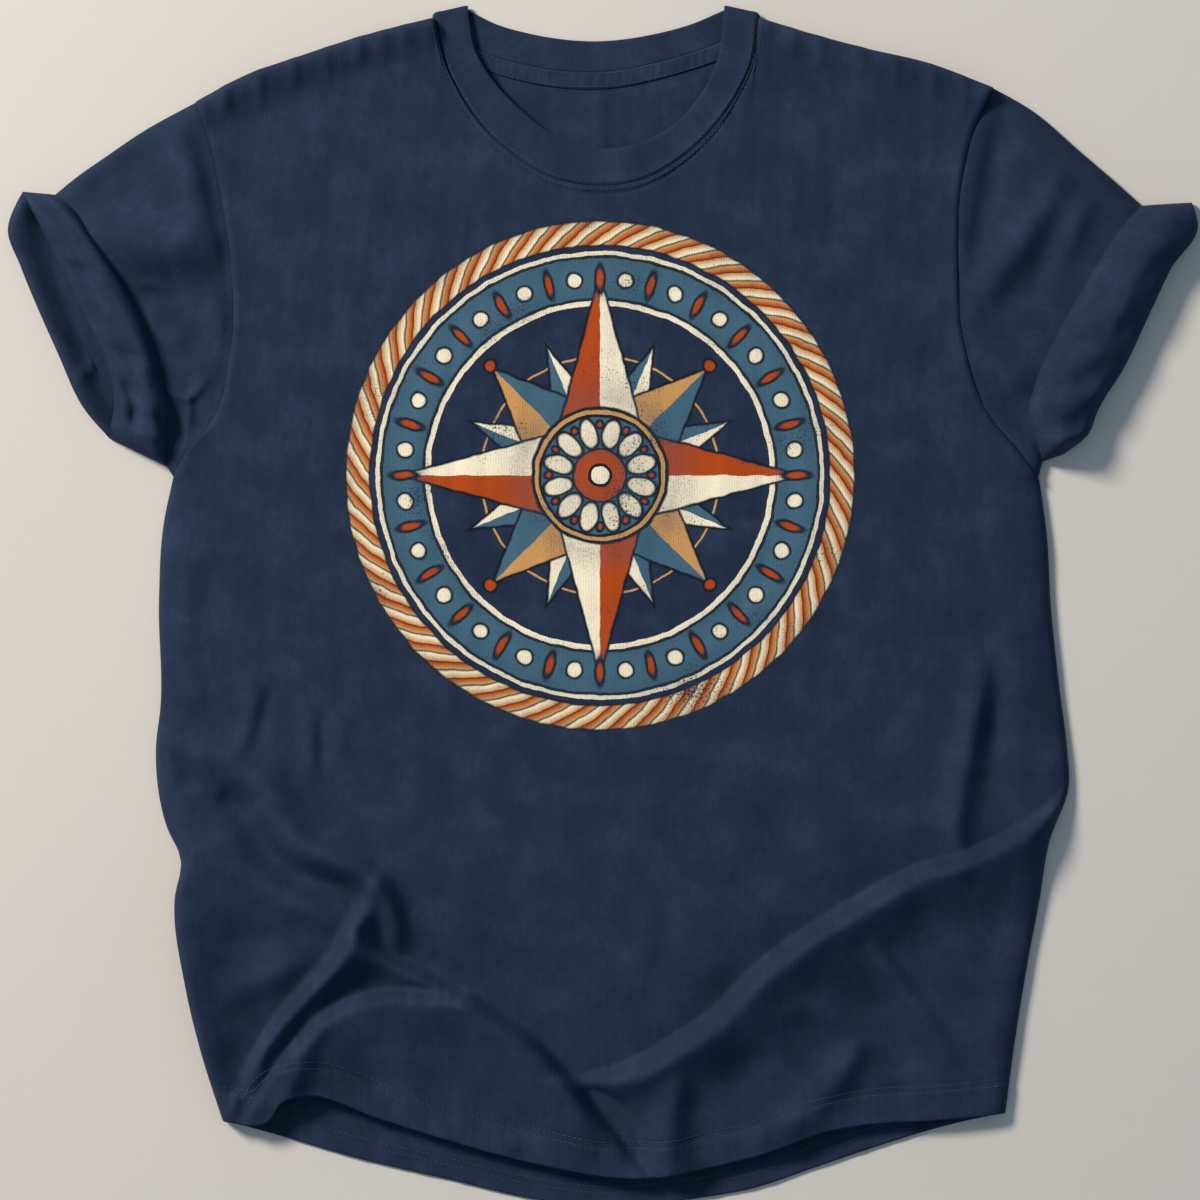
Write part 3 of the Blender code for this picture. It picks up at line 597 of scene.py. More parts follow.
def panel_grid(hem, neck, across, up):
    """A panel's flat x and y, then how far each point is from its left, right and upper edges and hem."""
    xy = patch(smooth_curve(hem), top_edge(neck), side_edge(LEFT_SIDE, LEFT_ARMHOLE),
               side_edge(RIGHT_SIDE, RIGHT_ARMHOLE), across, up)
    u, v = across[None, :], up[:, None]
    width = np.linalg.norm(xy[:, -1] - xy[:, 0], axis=-1)[:, None]
    length = np.linalg.norm(xy[-1] - xy[0], axis=-1)[None, :]
    return xy, (u * width, (1 - u) * width, (1 - v) * length, v * length)


def front_surface(across, up, settings):
    """The upper side of the laid front as a grid of points, and its flat x and y."""
    xy, (from_left, from_right, from_top, from_hem) = panel_grid(FRONT_HEM, FRONT_NECK, across, up)
    u, v = across[None, :], up[:, None]
    armhole = rise(np.maximum(v - UNDERARM_AT, 0) * PANEL_LENGTH)
    tight = EDGE_ROUNDING - TIGHTER_BY * ease((TIGHT_BELOW - xy[..., 1]) / TIGHT_FADES)
    left = 1 - (1 - rise(from_left, tight)) * (1 - armhole)
    right = 1 - (1 - rise(from_right)) * (1 - armhole)
    neck = rise(np.clip(np.minimum(u - NECK_STARTS, NECK_ENDS - u), 0, 1), NECK_OPENS_OVER)
    shoulder = 1 - (1 - rise(from_top)) * (1 - neck)
    lifted = left * right * shoulder
    near_neck = np.clip(2 - np.abs(u - 0.5) / (0.5 - NECK_STARTS), 0, 1)
    near_neck = near_neck * np.clip((v - NECK_LIFT_FROM) / (1 - NECK_LIFT_FROM), 0, 1)
    height = EDGE_HEIGHT + BODY_LIFT * lifted + NECK_LIFT * near_neck * (1 - lifted)
    low_part = xy[..., 1].min(axis=1) < FOLDS_REACH
    low_xy = xy[low_part]
    added = np.zeros(low_xy.shape[:-1])
    for group in FOLDS.values():
        risen, heights, dips = zip(*(fold(low_xy, rows_of_fold) for rows_of_fold in group))
        added = added + np.prod(risen, axis=0) * np.max(heights, axis=0) - np.max(dips, axis=0)
    for roll in SOFT_ROLLS.values():
        added = added + soft_roll(low_xy, roll)
    height[low_part] += softened(added, 2) * (left * right * np.ones_like(height))[low_part]
    sides = left * right
    for x0, y0, x1, y1, tall, spread in SOFT_RIDGES:
        height = height + ridge(xy, x0, y0, x1, y1, tall, spread) * sides
    for x, length, tall in SHOULDER_GATHERS:
        seam = top_edge(FRONT_NECK)([NECK_STARTS / 2 if x < 0 else (1 + NECK_ENDS) / 2])[0, 1]
        slope = (1 if x < 0 else -1) * SHOULDER_SLOPE * (x - SHOULDER_MIDDLES[0 if x < 0 else 1])
        top = seam + slope
        height = height + ridge(xy, x, top + 6, x + 3, top - length, GATHER_DEPTH * tall, GATHER_SPREAD)

    chest = ease((xy[..., 1] - CHEST_STARTS) / CHEST_FADES)
    for (tall, wave_across, wave_along), share, step in ((BROAD_WAVES, 1, 0), (FINE_WAVES, chest, 1)):
        height = height + tall * share * ripples(xy, wave_across, wave_along, settings.seed + step) * sides

    seam = SEAM_STEP * ease((SEAM_WIDTH - from_top) / SEAM_FADES) * neck
    ditch = -DITCH_DEPTH * np.exp(-((from_top - DITCH_AT) / DITCH_WIDTH) ** 2) * neck
    hole = np.where(v > UNDERARM_AT, np.minimum(from_left, from_right), np.inf)
    welt = WELT_HEIGHT * (1 - np.exp(-((hole / WELT_STARTS) ** 2))) * np.exp(-((hole / WELT_REACH) ** 2))
    at_shoulder = SHOULDER_HEIGHT * np.exp(-((from_top / SHOULDER_REACH) ** 2))
    at_shoulder = at_shoulder * rise(from_top, SHOULDER_ROUNDING) * (1 - neck)
    hem = settings.hem / MM
    turned = HEM_STEP * ease((hem + HEM_STEP_PAST - from_hem) / HEM_STEP_FADES)
    rows_at = (hem, hem + settings.row_gap / MM)
    needled = sum(-NEEDLE_DEPTH * np.exp(-((from_hem - at) / NEEDLE_WIDTH) ** 2) for at in rows_at)
    pucker = ripples(xy, 11, 300, settings.seed + 2) * np.exp(-((from_hem - hem + 4) / 10) ** 2)
    gather = ripples(xy, 5, 5, settings.seed + 3) * np.exp(-((from_top - 3) / 2.5) ** 2) * neck
    height = height + seam + ditch + welt + at_shoulder + turned + needled
    height = height + HEM_PUCKER * pucker + NECK_GATHER * gather

    height = np.maximum(height, LOWEST_FRONT - (1 - sides)) + HALF_CLOTH
    return np.dstack([xy, height]), xy


def grid_normals(points):
    """The upward normal at each point of a grid."""
    along_u = np.gradient(points, axis=1)
    along_v = np.gradient(points, axis=0)
    normal = np.cross(along_u, along_v)
    return normal / np.maximum(np.linalg.norm(normal, axis=-1, keepdims=True), 1e-9)


def add_object(name, data):
    """A new object in the scene."""
    made = bpy.data.objects.new(name, data)
    bpy.context.scene.collection.objects.link(made)
    return made


def add_mesh(name, points, faces, material, uv=None):
    """A smooth mesh object from points in millimetres, with an optional flat map in metres."""
    mesh = bpy.data.meshes.new(name)
    mesh.from_pydata((np.asarray(points) * MM).tolist(), [], faces)
    mesh.shade_smooth()
    mesh.materials.append(material)
    if uv is not None:
        corners = np.empty(len(mesh.loops), np.int32)
        mesh.loops.foreach_get("vertex_index", corners)
        layer = mesh.uv_layers.new(name="flat")
        layer.data.foreach_set("uv", (np.asarray(uv)[corners] * MM).astype(np.float32).ravel())
    mesh.validate()
    return add_object(name, mesh)


def add_sheet(name, top, under, flat, material, skip=1):
    """A closed sheet from the grids of its two sides. The under side keeps one grid line in skip."""
    under, under_flat = under[::skip, ::skip], flat[::skip, ::skip]
    index = np.arange(top[..., 0].size).reshape(top.shape[:2])
    below = index.size + np.arange(under[..., 0].size).reshape(under.shape[:2])
    faces = np.stack([index[:-1, :-1], index[:-1, 1:], index[1:, 1:], index[1:, :-1]], -1).reshape(-1, 4)
    turned = np.stack([below[:-1, :-1], below[1:, :-1], below[1:, 1:], below[:-1, 1:]], -1).reshape(-1, 4)
    faces = faces.tolist() + turned.tolist()
    upper_rim, lower_rim = rim(index), rim(below)
    for k, (p, q) in enumerate(zip(lower_rim, np.roll(lower_rim, -1))):
        along = [int(upper_rim[(k * skip + j) % len(upper_rim)]) for j in range(skip, -1, -1)]
        faces.append([int(p), int(q)] + along)
    points = np.concatenate([top.reshape(-1, 3), under.reshape(-1, 3)])
    uv = np.concatenate([flat.reshape(-1, 2), under_flat.reshape(-1, 2)])
    return add_mesh(name, points, faces, material, uv)


def rim(index):
    """The grid's outer points, once round."""
    return np.concatenate([index[0], index[1:, -1], index[-1, -2::-1], index[-2:0:-1, 0]])


def add_tube(name, loops, flat, material):
    """A closed piece from loops of points, each joined to the next and the last to the first."""
    count, around = loops.shape[:2]
    index = np.arange(count * around).reshape(count, around)
    beyond, beside = np.roll(index, -1, axis=0), np.roll(index, -1, axis=1)
    opposite = np.roll(beyond, -1, axis=1)
    faces = np.stack([index, beside, opposite, beyond], axis=-1).reshape(-1, 4).tolist()
    return add_mesh(name, loops.reshape(-1, 3), faces, material, flat.reshape(-1, 2))


def place(piece, nodes, slot):
    """Ties a finished piece to the frame: the body it rides on and the nodes it stands for, which it hides.
    The slot is not used.
    """
    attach(piece, "root")
    if nodes:
        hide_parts(*nodes)
    return piece


def add_node(tree, kind, settings=None, inputs=None):
    """One node in a tree: its own settings, then each input as a value or a link from a socket."""
    node = tree.nodes.new(kind)
    for name, value in (settings or {}).items():
        setattr(node, name, value)
    for key, value in (inputs or {}).items():
        if isinstance(value, bpy.types.NodeSocket):
            tree.links.new(value, node.inputs[key])
        else:
            node.inputs[key].default_value = value
    return node


def new_material(name):
    """An empty material with its tree, shader and output joined."""
    material = bpy.data.materials.new(name)
    material.use_nodes = True
    tree = material.node_tree
    tree.nodes.clear()
    shader = add_node(tree, "ShaderNodeBsdfPrincipled")
    add_node(tree, "ShaderNodeOutputMaterial", None, {"Surface": shader.outputs["BSDF"]})
    return material, tree, shader


def fill_ramp(ramp, stops):
    """Gives a colour ramp its stops, as positions and colours in rising order."""
    elements = ramp.color_ramp.elements
    for k, (position, shade) in enumerate(stops):
        element = elements[k] if k < 2 else elements.new(position)
        element.position, element.color = position, shade


def cloth_colour(tree, cloth, settings):
    """The dye's mottling: cloudy patches, short slubs along the knit, and fine heather."""
    clouds = add_node(tree, "ShaderNodeTexNoise", {"noise_dimensions": "2D"},
                      {"Vector": cloth, "Scale": 34.0, "Detail": 4.0, "Roughness": 0.6})
    stretched = add_node(tree, "ShaderNodeMapping", None, {"Vector": cloth, "Scale": (300.0, 130.0, 1.0)})
    slubs = add_node(tree, "ShaderNodeTexNoise", {"noise_dimensions": "2D"},
                     {"Vector": stretched.outputs[0], "Scale": 1.0, "Detail": 2.0})
    both = add_node(tree, "ShaderNodeMath", {"operation": "MULTIPLY_ADD"},
                    {0: slubs.outputs[0], 1: 0.3, 2: clouds.outputs[0]})
    ramp = add_node(tree, "ShaderNodeValToRGB", None, {"Fac": both.outputs[0]})
    dyes = ((0.35, settings.deep), (0.65, settings.dye), (0.95, settings.faded))
    fill_ramp(ramp, [(position, (*dye, 1)) for position, dye in dyes])
    return ramp.outputs["Color"]


def knit_bump(tree, cloth, spacing, strength, distance=0.0004):
    """The knit's columns as upright ribs broken into loops, with soft fuzz over them.

    Real jersey's columns are finer. They are drawn coarser here, so that they show.
    """
    wales = add_node(tree, "ShaderNodeTexWave", {"bands_direction": "X"},
                     {"Vector": cloth, "Scale": math.pi / 10 / spacing, "Distortion": 1.5})
    fuzz = add_node(tree, "ShaderNodeTexNoise", {"noise_dimensions": "2D"},
                    {"Vector": cloth, "Scale": 700.0, "Detail": 2.0})
    height = add_node(tree, "ShaderNodeMath", {"operation": "MULTIPLY_ADD"},
                      {0: wales.outputs["Fac"], 1: 0.5, 2: fuzz.outputs[0]})
    bump = add_node(tree, "ShaderNodeBump", None,
                    {"Strength": strength, "Distance": distance, "Height": height.outputs[0]})
    return bump.outputs["Normal"]


def cotton(shader, tree, colour, normal):
    """Cotton's finish on a shader: matt, with the soft pale sheen of its fibres at grazing angles."""
    tree.links.new(colour, shader.inputs["Base Color"])
    tree.links.new(normal, shader.inputs["Normal"])
    shader.inputs["Roughness"].default_value = 0.92
    shader.inputs["Specular IOR Level"].default_value = 0.1
    shader.inputs["Sheen Weight"].default_value = 0.04
    shader.inputs["Sheen Tint"].default_value = (*linear(0x7F93C8), 1)
    shader.inputs["Sheen Roughness"].default_value = 0.55


def cloth_place(tree):
    """Where a point lies on the flat cloth, in metres."""
    return add_node(tree, "ShaderNodeUVMap", {"uv_map": "flat"}).outputs["UV"]


def dyed_cotton(name, settings, spacing, strength):
    """A cotton cloth in the shirt's dye, with its knit or weave at a spacing and a strength."""
    material, tree, shader = new_material(name)
    cloth = cloth_place(tree)
    cotton(shader, tree, cloth_colour(tree, cloth, settings), knit_bump(tree, cloth, spacing, strength))
    return material


def jersey_material(settings):
    """Garment-dyed cotton jersey, knitted and washed: matt navy, mottled where the dye took unevenly."""
    return dyed_cotton("garment_dyed_cotton_jersey", settings, settings.wale, 0.28)


def printed_material(settings):
    """The same jersey with a worn water-based screen print: matt inks that the knit breaks up."""
    material, tree, shader = new_material("screen_printed_cotton_jersey")
    cloth = cloth_place(tree)
    bare = cloth_colour(tree, cloth, settings)
    ink, cover = medallion(tree, cloth, settings)
    cotton(shader, tree, mixed(tree, cover, bare, ink), knit_bump(tree, cloth, settings.wale, 0.28))
    return material


def sector(tree, angle, radius, count, turn=0.0):
    """A point's place in its own share of a ring: how far out along the share's middle, and how far
    beside that, always counted positive. Also 1 on the left side of the middle and 0 on its right.
    """
    half = math.pi / count
    turned = add_node(tree, "ShaderNodeMath", {"operation": "ADD"}, {0: angle, 1: half * (1 + 2 * turn)})
    within = add_node(tree, "ShaderNodeMath", {"operation": "FLOORED_MODULO"},
                      {0: turned.outputs[0], 1: 2 * half})
    aside = add_node(tree, "ShaderNodeMath", {"operation": "SUBTRACT"}, {0: within.outputs[0], 1: half})
    out = add_node(tree, "ShaderNodeMath", {"operation": "COSINE"}, {0: aside.outputs[0]})
    beside = add_node(tree, "ShaderNodeMath", {"operation": "SINE"}, {0: aside.outputs[0]})
    away = add_node(tree, "ShaderNodeMath", {"operation": "ABSOLUTE"}, {0: beside.outputs[0]})
    way = add_node(tree, "ShaderNodeCombineXYZ", None, {"X": out.outputs[0], "Y": away.outputs[0]})
    place_at = add_node(tree, "ShaderNodeVectorMath", {"operation": "SCALE"},
                        {0: way.outputs[0], "Scale": radius})
    left = add_node(tree, "ShaderNodeMath", {"operation": "GREATER_THAN"}, {0: aside.outputs[0], 1: 0.0})
    return place_at.outputs[0], left.outputs[0]


def below(tree, value, limit):
    """1 where a value is under its limit, with an edge as soft as ink in cloth."""
    edge = add_node(tree, "ShaderNodeMapRange", {"clamp": True},
                    {"Value": value, "From Min": limit - INK_BLEED, "From Max": limit + INK_BLEED,
                     "To Min": 1.0, "To Max": 0.0})
    return edge.outputs[0]


def star_rays(tree, place_at, tip, waist, count):
    """How far a point lies outside the straight edges of a star's rays."""
    half = math.pi / count
    run = np.array([waist * math.cos(half) - tip, waist * math.sin(half)])
    run /= np.linalg.norm(run)
    facing = add_node(tree, "ShaderNodeVectorMath", {"operation": "DOT_PRODUCT"},
                      {0: place_at, 1: (run[1], -run[0], 0.0)})
    beyond = add_node(tree, "ShaderNodeMath", {"operation": "SUBTRACT"},
                      {0: facing.outputs["Value"], 1: tip * run[1]})
    return beyond.outputs[0]


def mixed(tree, share, under, over):
    """Two colours mixed by a share. A mix node's colour sockets are 6 and 7, and its colour output 2."""
    mix = add_node(tree, "ShaderNodeMix", {"data_type": "RGBA"}, {0: share, 6: under, 7: over})
    return mix.outputs[2]


def rings(tree, radius, inks):
    """The medallion's rings and lines: their colour by the distance from its centre, and their cover."""
    ramp = add_node(tree, "ShaderNodeValToRGB", None, {"Fac": radius})
    ramp.color_ramp.interpolation = "CONSTANT"
    fill_ramp(ramp, [(start, (*inks[ink], 1) if ink else (0, 0, 0, 0)) for start, ink in RING_INKS])
    return ramp.outputs["Color"], ramp.outputs["Alpha"]


def medallion(tree, cloth, settings):
    """A compass star in a rope ring: the colour of its inks, and how far they cover the cloth."""
    inks = {name: tuple(getattr(settings, name)) for name in ("rust", "cream", "tan", "slate", "outline")}
    unit = add_node(tree, "ShaderNodeMapping", {"vector_type": "TEXTURE"},
                    {"Vector": cloth, "Location": (0, settings.print_height, 0),
                     "Scale": (settings.print_radius, settings.print_radius, 1)})
    waver = add_node(tree, "ShaderNodeTexNoise", {"noise_dimensions": "2D"},
                     {"Vector": unit.outputs[0], "Scale": 14.0, "Detail": 3.0})
    drawn = add_node(tree, "ShaderNodeVectorMath", {"operation": "MULTIPLY_ADD"},
                     {0: waver.outputs["Color"], 1: (WAVER, WAVER, 0), 2: unit.outputs[0]})
    centred = add_node(tree, "ShaderNodeVectorMath", {"operation": "SUBTRACT"},
                       {0: drawn.outputs[0], 1: (WAVER / 2, WAVER / 2, 0)})
    radius = add_node(tree, "ShaderNodeVectorMath", {"operation": "LENGTH"},
                      {0: centred.outputs[0]}).outputs["Value"]
    axes = add_node(tree, "ShaderNodeSeparateXYZ", None, {0: centred.outputs[0]})
    angle = add_node(tree, "ShaderNodeMath", {"operation": "ARCTAN2"},
                     {0: axes.outputs["Y"], 1: axes.outputs["X"]}).outputs[0]
    colour, cover = rings(tree, radius, inks)

    def draw(share, ink):
        """Lays an ink over what is drawn so far."""
        nonlocal colour, cover
        colour = mixed(tree, share, colour, ink)
        cover = add_node(tree, "ShaderNodeMath", {"operation": "MAXIMUM"}, {0: cover, 1: share}).outputs[0]

    for count, turn, tip, waist, left_ink, right_ink in STAR_RAYS:
        place_at, left = sector(tree, angle, radius, count, turn)
        beyond = star_rays(tree, place_at, tip, waist, count)
        outside = add_node(tree, "ShaderNodeMath", {"operation": "MAXIMUM"}, {
            0: beyond, 1: add_node(tree, "ShaderNodeMath", {"operation": "SUBTRACT"},
                                   {0: BOSS_RADIUS, 1: radius}).outputs[0]}).outputs[0]
        draw(below(tree, outside, 0.0), (*inks["outline"], 1))
        draw(below(tree, outside, -LINE_WIDTH),
             mixed(tree, left, (*inks[right_ink], 1), (*inks[left_ink], 1)))

    for count, turn, at, size, stretch, ink in DOTS:
        place_at, _ = sector(tree, angle, radius, count, turn)
        from_dot = add_node(tree, "ShaderNodeMapping", {"vector_type": "TEXTURE"},
                            {"Vector": place_at, "Location": (at, 0, 0), "Scale": (stretch, 1, 1)})
        away = add_node(tree, "ShaderNodeVectorMath", {"operation": "LENGTH"}, {0: from_dot.outputs[0]})
        draw(below(tree, away.outputs["Value"], size + LINE_WIDTH), (*inks["outline"], 1))
        draw(below(tree, away.outputs["Value"], size), (*inks[ink], 1))

    slant = add_node(tree, "ShaderNodeMath", {"operation": "MULTIPLY"}, {0: radius, 1: ROPE_SLANT})
    turns = add_node(tree, "ShaderNodeMath", {"operation": "MULTIPLY_ADD"},
                     {0: angle, 1: ROPE_STRANDS / math.tau, 2: slant.outputs[0]})
    strand = add_node(tree, "ShaderNodeMath", {"operation": "FRACT"}, {0: turns.outputs[0]})
    rope = add_node(tree, "ShaderNodeValToRGB", None, {"Fac": strand.outputs[0]})
    fill_ramp(rope, [(start, (*inks[ink], 1)) for start, ink in ROPE_INKS])
    from_rope = add_node(tree, "ShaderNodeMath", {"operation": "SUBTRACT"}, {0: radius, 1: ROPE_RADIUS})
    rope_away = add_node(tree, "ShaderNodeMath", {"operation": "ABSOLUTE"}, {0: from_rope.outputs[0]})
    draw(below(tree, rope_away.outputs[0], ROPE_HALF), rope.outputs["Color"])

    stipple = add_node(tree, "ShaderNodeTexNoise", {"noise_dimensions": "2D"},
                       {"Vector": cloth, "Scale": 620.0, "Detail": 5.0, "Roughness": 0.8})
    shading = add_node(tree, "ShaderNodeValToRGB", None, {"Fac": radius})
    fill_ramp(shading, [(start, (level, level, level, 1)) for start, level in SHADING])
    depth = add_node(tree, "ShaderNodeMath", {"operation": "ADD"},
                     {0: shading.outputs["Color"], 1: stipple.outputs[0]})
    shaded = add_node(tree, "ShaderNodeMapRange", {"clamp": True},
                      {"Value": depth.outputs[0], "From Min": 0.86, "From Max": 1.16, "To Max": 0.72})
    shadow = mixed(tree, 0.5, colour, (*inks["outline"], 1))
    shadow = mixed(tree, 0.35, shadow, (*inks["slate"], 1))
    colour = mixed(tree, shaded.outputs[0], colour, shadow)

    scuffs = add_node(tree, "ShaderNodeTexNoise", {"noise_dimensions": "2D"},
                      {"Vector": cloth, "Scale": 24.0, "Detail": 4.0})
    thin = add_node(tree, "ShaderNodeMath", {"operation": "MULTIPLY_ADD"},
                    {0: scuffs.outputs[0], 1: 0.55, 2: stipple.outputs[0]})
    kept = add_node(tree, "ShaderNodeMapRange", {"clamp": True},
                    {"Value": thin.outputs[0], "From Min": 0.56, "From Max": 0.66, "To Max": 0.97})
    worn = add_node(tree, "ShaderNodeMath", {"operation": "MULTIPLY"}, {0: cover, 1: kept.outputs[0]})
    return colour, worn.outputs[0]


def ribbed_material(settings):
    """Ribbed cotton knit, knitted tight for the neck: matt, in the jersey's dye, with softer columns."""
    return dyed_cotton("ribbed_cotton_knit", settings, settings.wale * 1.1, 0.22)


def tape_material(settings):
    """Woven cotton tape, dyed with the shirt: matt, with a closer and crisper grain than the jersey."""
    return dyed_cotton("woven_cotton_tape", settings, settings.wale * 0.8, 0.35)


def thread_material(settings):
    """Spun polyester sewing thread: it takes less dye than cotton, so it shows a shade paler."""
    material, tree, shader = new_material("spun_polyester_thread")
    place_at = add_node(tree, "ShaderNodeTexCoord").outputs["Object"]
    twist = add_node(tree, "ShaderNodeTexNoise", None, {"Vector": place_at, "Scale": 900.0})
    tone = mixed(tree, twist.outputs[0], (*settings.dye, 1), (*settings.thread_dye, 1))
    tree.links.new(tone, shader.inputs["Base Color"])
    shader.inputs["Roughness"].default_value = 0.7
    return material


def make_front(settings, material):
    """The front as a sheet, with its grid lines close together at its seams and folds."""
    across = spaced([(0.03, 10), (0.97, 236), (1.0, 10)])
    up = spaced([(0.03, 16), (0.45, 182), (0.95, 82), (0.985, 12), (1.0, 10)])
    top, flat = front_surface(across, up, settings)
    under = top - grid_normals(top) * (settings.jersey / MM)
    return add_sheet("front_jersey", top, under, flat, material, skip=2)


def back_surface(across, up, settings):
    """The upper side of the back panel, which lies flat, and its flat x and y."""
    xy, (from_left, from_right, from_top, from_hem) = panel_grid(BACK_HEM, BACK_NECK, across, up)
    thick = settings.jersey / MM
    inside = ease(np.minimum(from_left, from_right) / 30)
    near_neck = ease((xy[..., 1] - 240) / 40) * ease((105 - np.abs(xy[..., 0])) / 40)
    under_tape = ease((from_top - 14) / 8)
    wavy = 0.5 + 0.5 * ripples(xy, 26, 400, settings.seed + 4)
    low_hem = ease((45 - from_hem) / 25)
    hem_waves = 0.5 + 0.5 * ripples(xy, 34, 200, settings.seed + 5)
    height = thick + inside * (0.9 * near_neck * under_tape * wavy + 0.5 * low_hem * hem_waves)
    hem = settings.hem / MM
    height = height + 0.35 * ease((hem + 1 - from_hem) / 2) * inside
    return np.dstack([xy, height]), xy


def make_back(settings, material):
    """The back as a sheet that is flat underneath."""
    across = spaced([(0.03, 7), (0.97, 150), (1.0, 7)])
    up = spaced([(0.07, 30), (0.85, 70), (1.0, 44)])
    top, flat = back_surface(across, up, settings)
    under = np.dstack([top[..., :2], np.zeros(top.shape[:2])])
    return add_sheet("back_jersey", top, under, flat, material)


def sleeve_line(sleeve, layer, s):
    """A function of the way round that gives the line across one layer of a sleeve."""
    hole = moved_out(smooth_curve(sleeve["armhole"][::-1]), -sleeve["outward"] * SEAM_TUCK)
    top, underarm = smooth_curve(sleeve["top"]), smooth_curve(sleeve["underarm"])
    cuff, mouth = smooth_curve(sleeve["cuff_" + layer]), smooth_curve(sleeve["mouth_" + layer])

    def line(t):
        """Points at each of t, from the sleeve's shoulder side to its underarm."""
        if s > 1:
            return (2 - s) * cuff(t) + (s - 1) * mouth(t)
        to_hole = ((1 - t)[:, None] * (hole([0.0]) - top([0.0]))
                   + t[:, None] * (hole([1.0]) - underarm([0.0])))
        return patch(hole, cuff, top, underarm, t, [s])[0] + (1 - s) * to_hole

    return line


def closeness(t, line, ends):
    """How far a layer has parted from the other one: 0 at the sleeve's two folded edges."""
    length = np.linalg.norm(np.diff(line, axis=0), axis=1).sum()
    return rise((t - ends[0]) * length) * rise((ends[1] - t) * length)


def roll_share(q, sleeve):
    """The turned-up end's height as a share: round up to its crest, then down to the mouth."""
    crest_at = sleeve["crest_at"]
    if q < crest_at:
        return math.sqrt(1 - (1 - q / crest_at) ** 2)
    past = min((q - crest_at) / (1 - crest_at), 1)
    return (1 - sleeve["outer_fall"] * past) * max(1 - past ** sleeve["outer_slope"], 0) ** 0.5


def make_sleeve(name, sleeve, rolls, dents, settings, material):
    """A sleeve, open at the armhole and at the mouth, with its end turned up in a soft roll."""
    edge = np.linspace(0, 1, 24) ** 1.6 * 0.1
    way = np.concatenate([edge, np.linspace(0.1, 0.9, 96)[1:-1], 1 - edge[::-1]])
    thick = settings.jersey / MM
    crest = sleeve["crest_at"]

    def loop(s, upper, under, ends, raised, rim_height=0.0):
        """One closed line round the sleeve, and where it lies on the flat cloth."""
        t_front = ends[0] + (ends[1] - ends[0]) * way
        t_back = t_front[-2:0:-1]
        over = sleeve_line(sleeve, "front", s)(t_front)
        below = sleeve_line(sleeve, "back", s)(t_back)
        parted = closeness(t_front, over, ends)
        back_parted = closeness(t_back, below, ends)
        high = upper(parted) + raised(t_front, over) * np.minimum(parted * 1.2, 1)
        low = under(back_parted)
        if rim_height:
            low = low + (rim_height + soft_roll(below[None], LEFT_MOUTH_RIDGE)[0]) * ease(back_parted)
        flat_t = np.concatenate([t_front, t_back]) * SLEEVE_ROUND
        return (np.vstack([np.column_stack([over, high]), np.column_stack([below, low])]),
                np.column_stack([flat_t, np.full(len(flat_t), s * SLEEVE_LENGTH)]))

    def bumps(over):
        """The relief of the sleeve's front at points along one line."""
        grid = over[None]
        total = 0.3 * ripples(grid, 60, 60, settings.seed + 6)
        for row in rolls:
            total = total + soft_roll(grid, row)
        return total[0]

    def roll_bumps(q, t, over):
        """The dents and puffs of the turned-up end, over the relief that runs on below it."""
        total = 0.35 * ripples(over, 34, 34, settings.seed + 8)
        for along, across, tall, spread, wide in dents:
            total = total + tall * np.exp(-((t - along) / spread) ** 2 - ((q - across) / wide) ** 2)
        return total * min(1, 4 * q) * min(1, 4 * (1 - q)) + bumps(over) * (1 - q) ** 2

    rows = []
    # The outside, from the armhole to the turned-up end
    outside = np.concatenate([np.linspace(0, 0.05, 6), np.linspace(0.05, 0.9, 40)[1:],
                              np.linspace(0.9, 1, 8)[1:]])
    for s in outside:
        tucked = -SEAM_TUCK * (1 - ease(s * SLEEVE_LENGTH / TUCK_FADES))
        rows.append(loop(
            s, lambda parted: SLEEVE_EDGE + (SLEEVE_LIFT + thick) * parted,
            lambda parted: SLEEVE_EDGE * (1 - parted), (0.0, 1.0),
            lambda t, over, s=s, tucked=tucked: bumps(over) * ease(s * 6) + tucked))
    # The roll, up to its crest and down to the mouth
    up_share = 1 - np.cos(np.linspace(0, np.pi / 2, 18)[1:])
    down_share = np.sin(np.linspace(0, np.pi / 2, 20)[1:])
    quarters = np.minimum(np.concatenate([crest * up_share, crest + (1 - crest) * down_share]), 1)
    for q in quarters:
        roll = sleeve["roll_height"] * roll_share(q, sleeve)
        rows.append(loop(
            1 + q, lambda parted, roll=roll: SLEEVE_EDGE + (SLEEVE_LIFT + thick + roll) * parted,
            lambda parted: SLEEVE_EDGE * (1 - parted), (0.0, 1.0),
            lambda t, over, q=q: roll_bumps(q, t, over)))
    # The lining, back from the mouth to the armhole
    for s in np.concatenate([np.linspace(1.985, 1.0, 26), np.linspace(0.95, 0, 16)]):
        lining = thick + CUFF_UNDER * min(s, 1)
        middle = max(SLEEVE_EDGE, lining) + 0.3
        rim_height = sleeve["back_rim"] * ease((s - 1.25) / 0.6) * (1 - 0.35 * ease((s - 1.88) / 0.1))
        rows.append(loop(
            s, lambda parted, middle=middle: middle + (SLEEVE_EDGE + SLEEVE_LIFT - middle) * parted,
            lambda parted, middle=middle, lining=lining: middle - (middle - lining) * parted,
            LINING_ENDS,
            lambda t, over, s=s: bumps(over) * ease(s * 6) * (1 - min(max(s - 1, 0), 1)) ** 2, rim_height))
    if sleeve["outward"] < 0:
        rows = rows[::-1]
    loops = np.array([points for points, _ in rows])
    flat = np.array([uv for _, uv in rows])
    return add_tube(name, loops, flat, material)


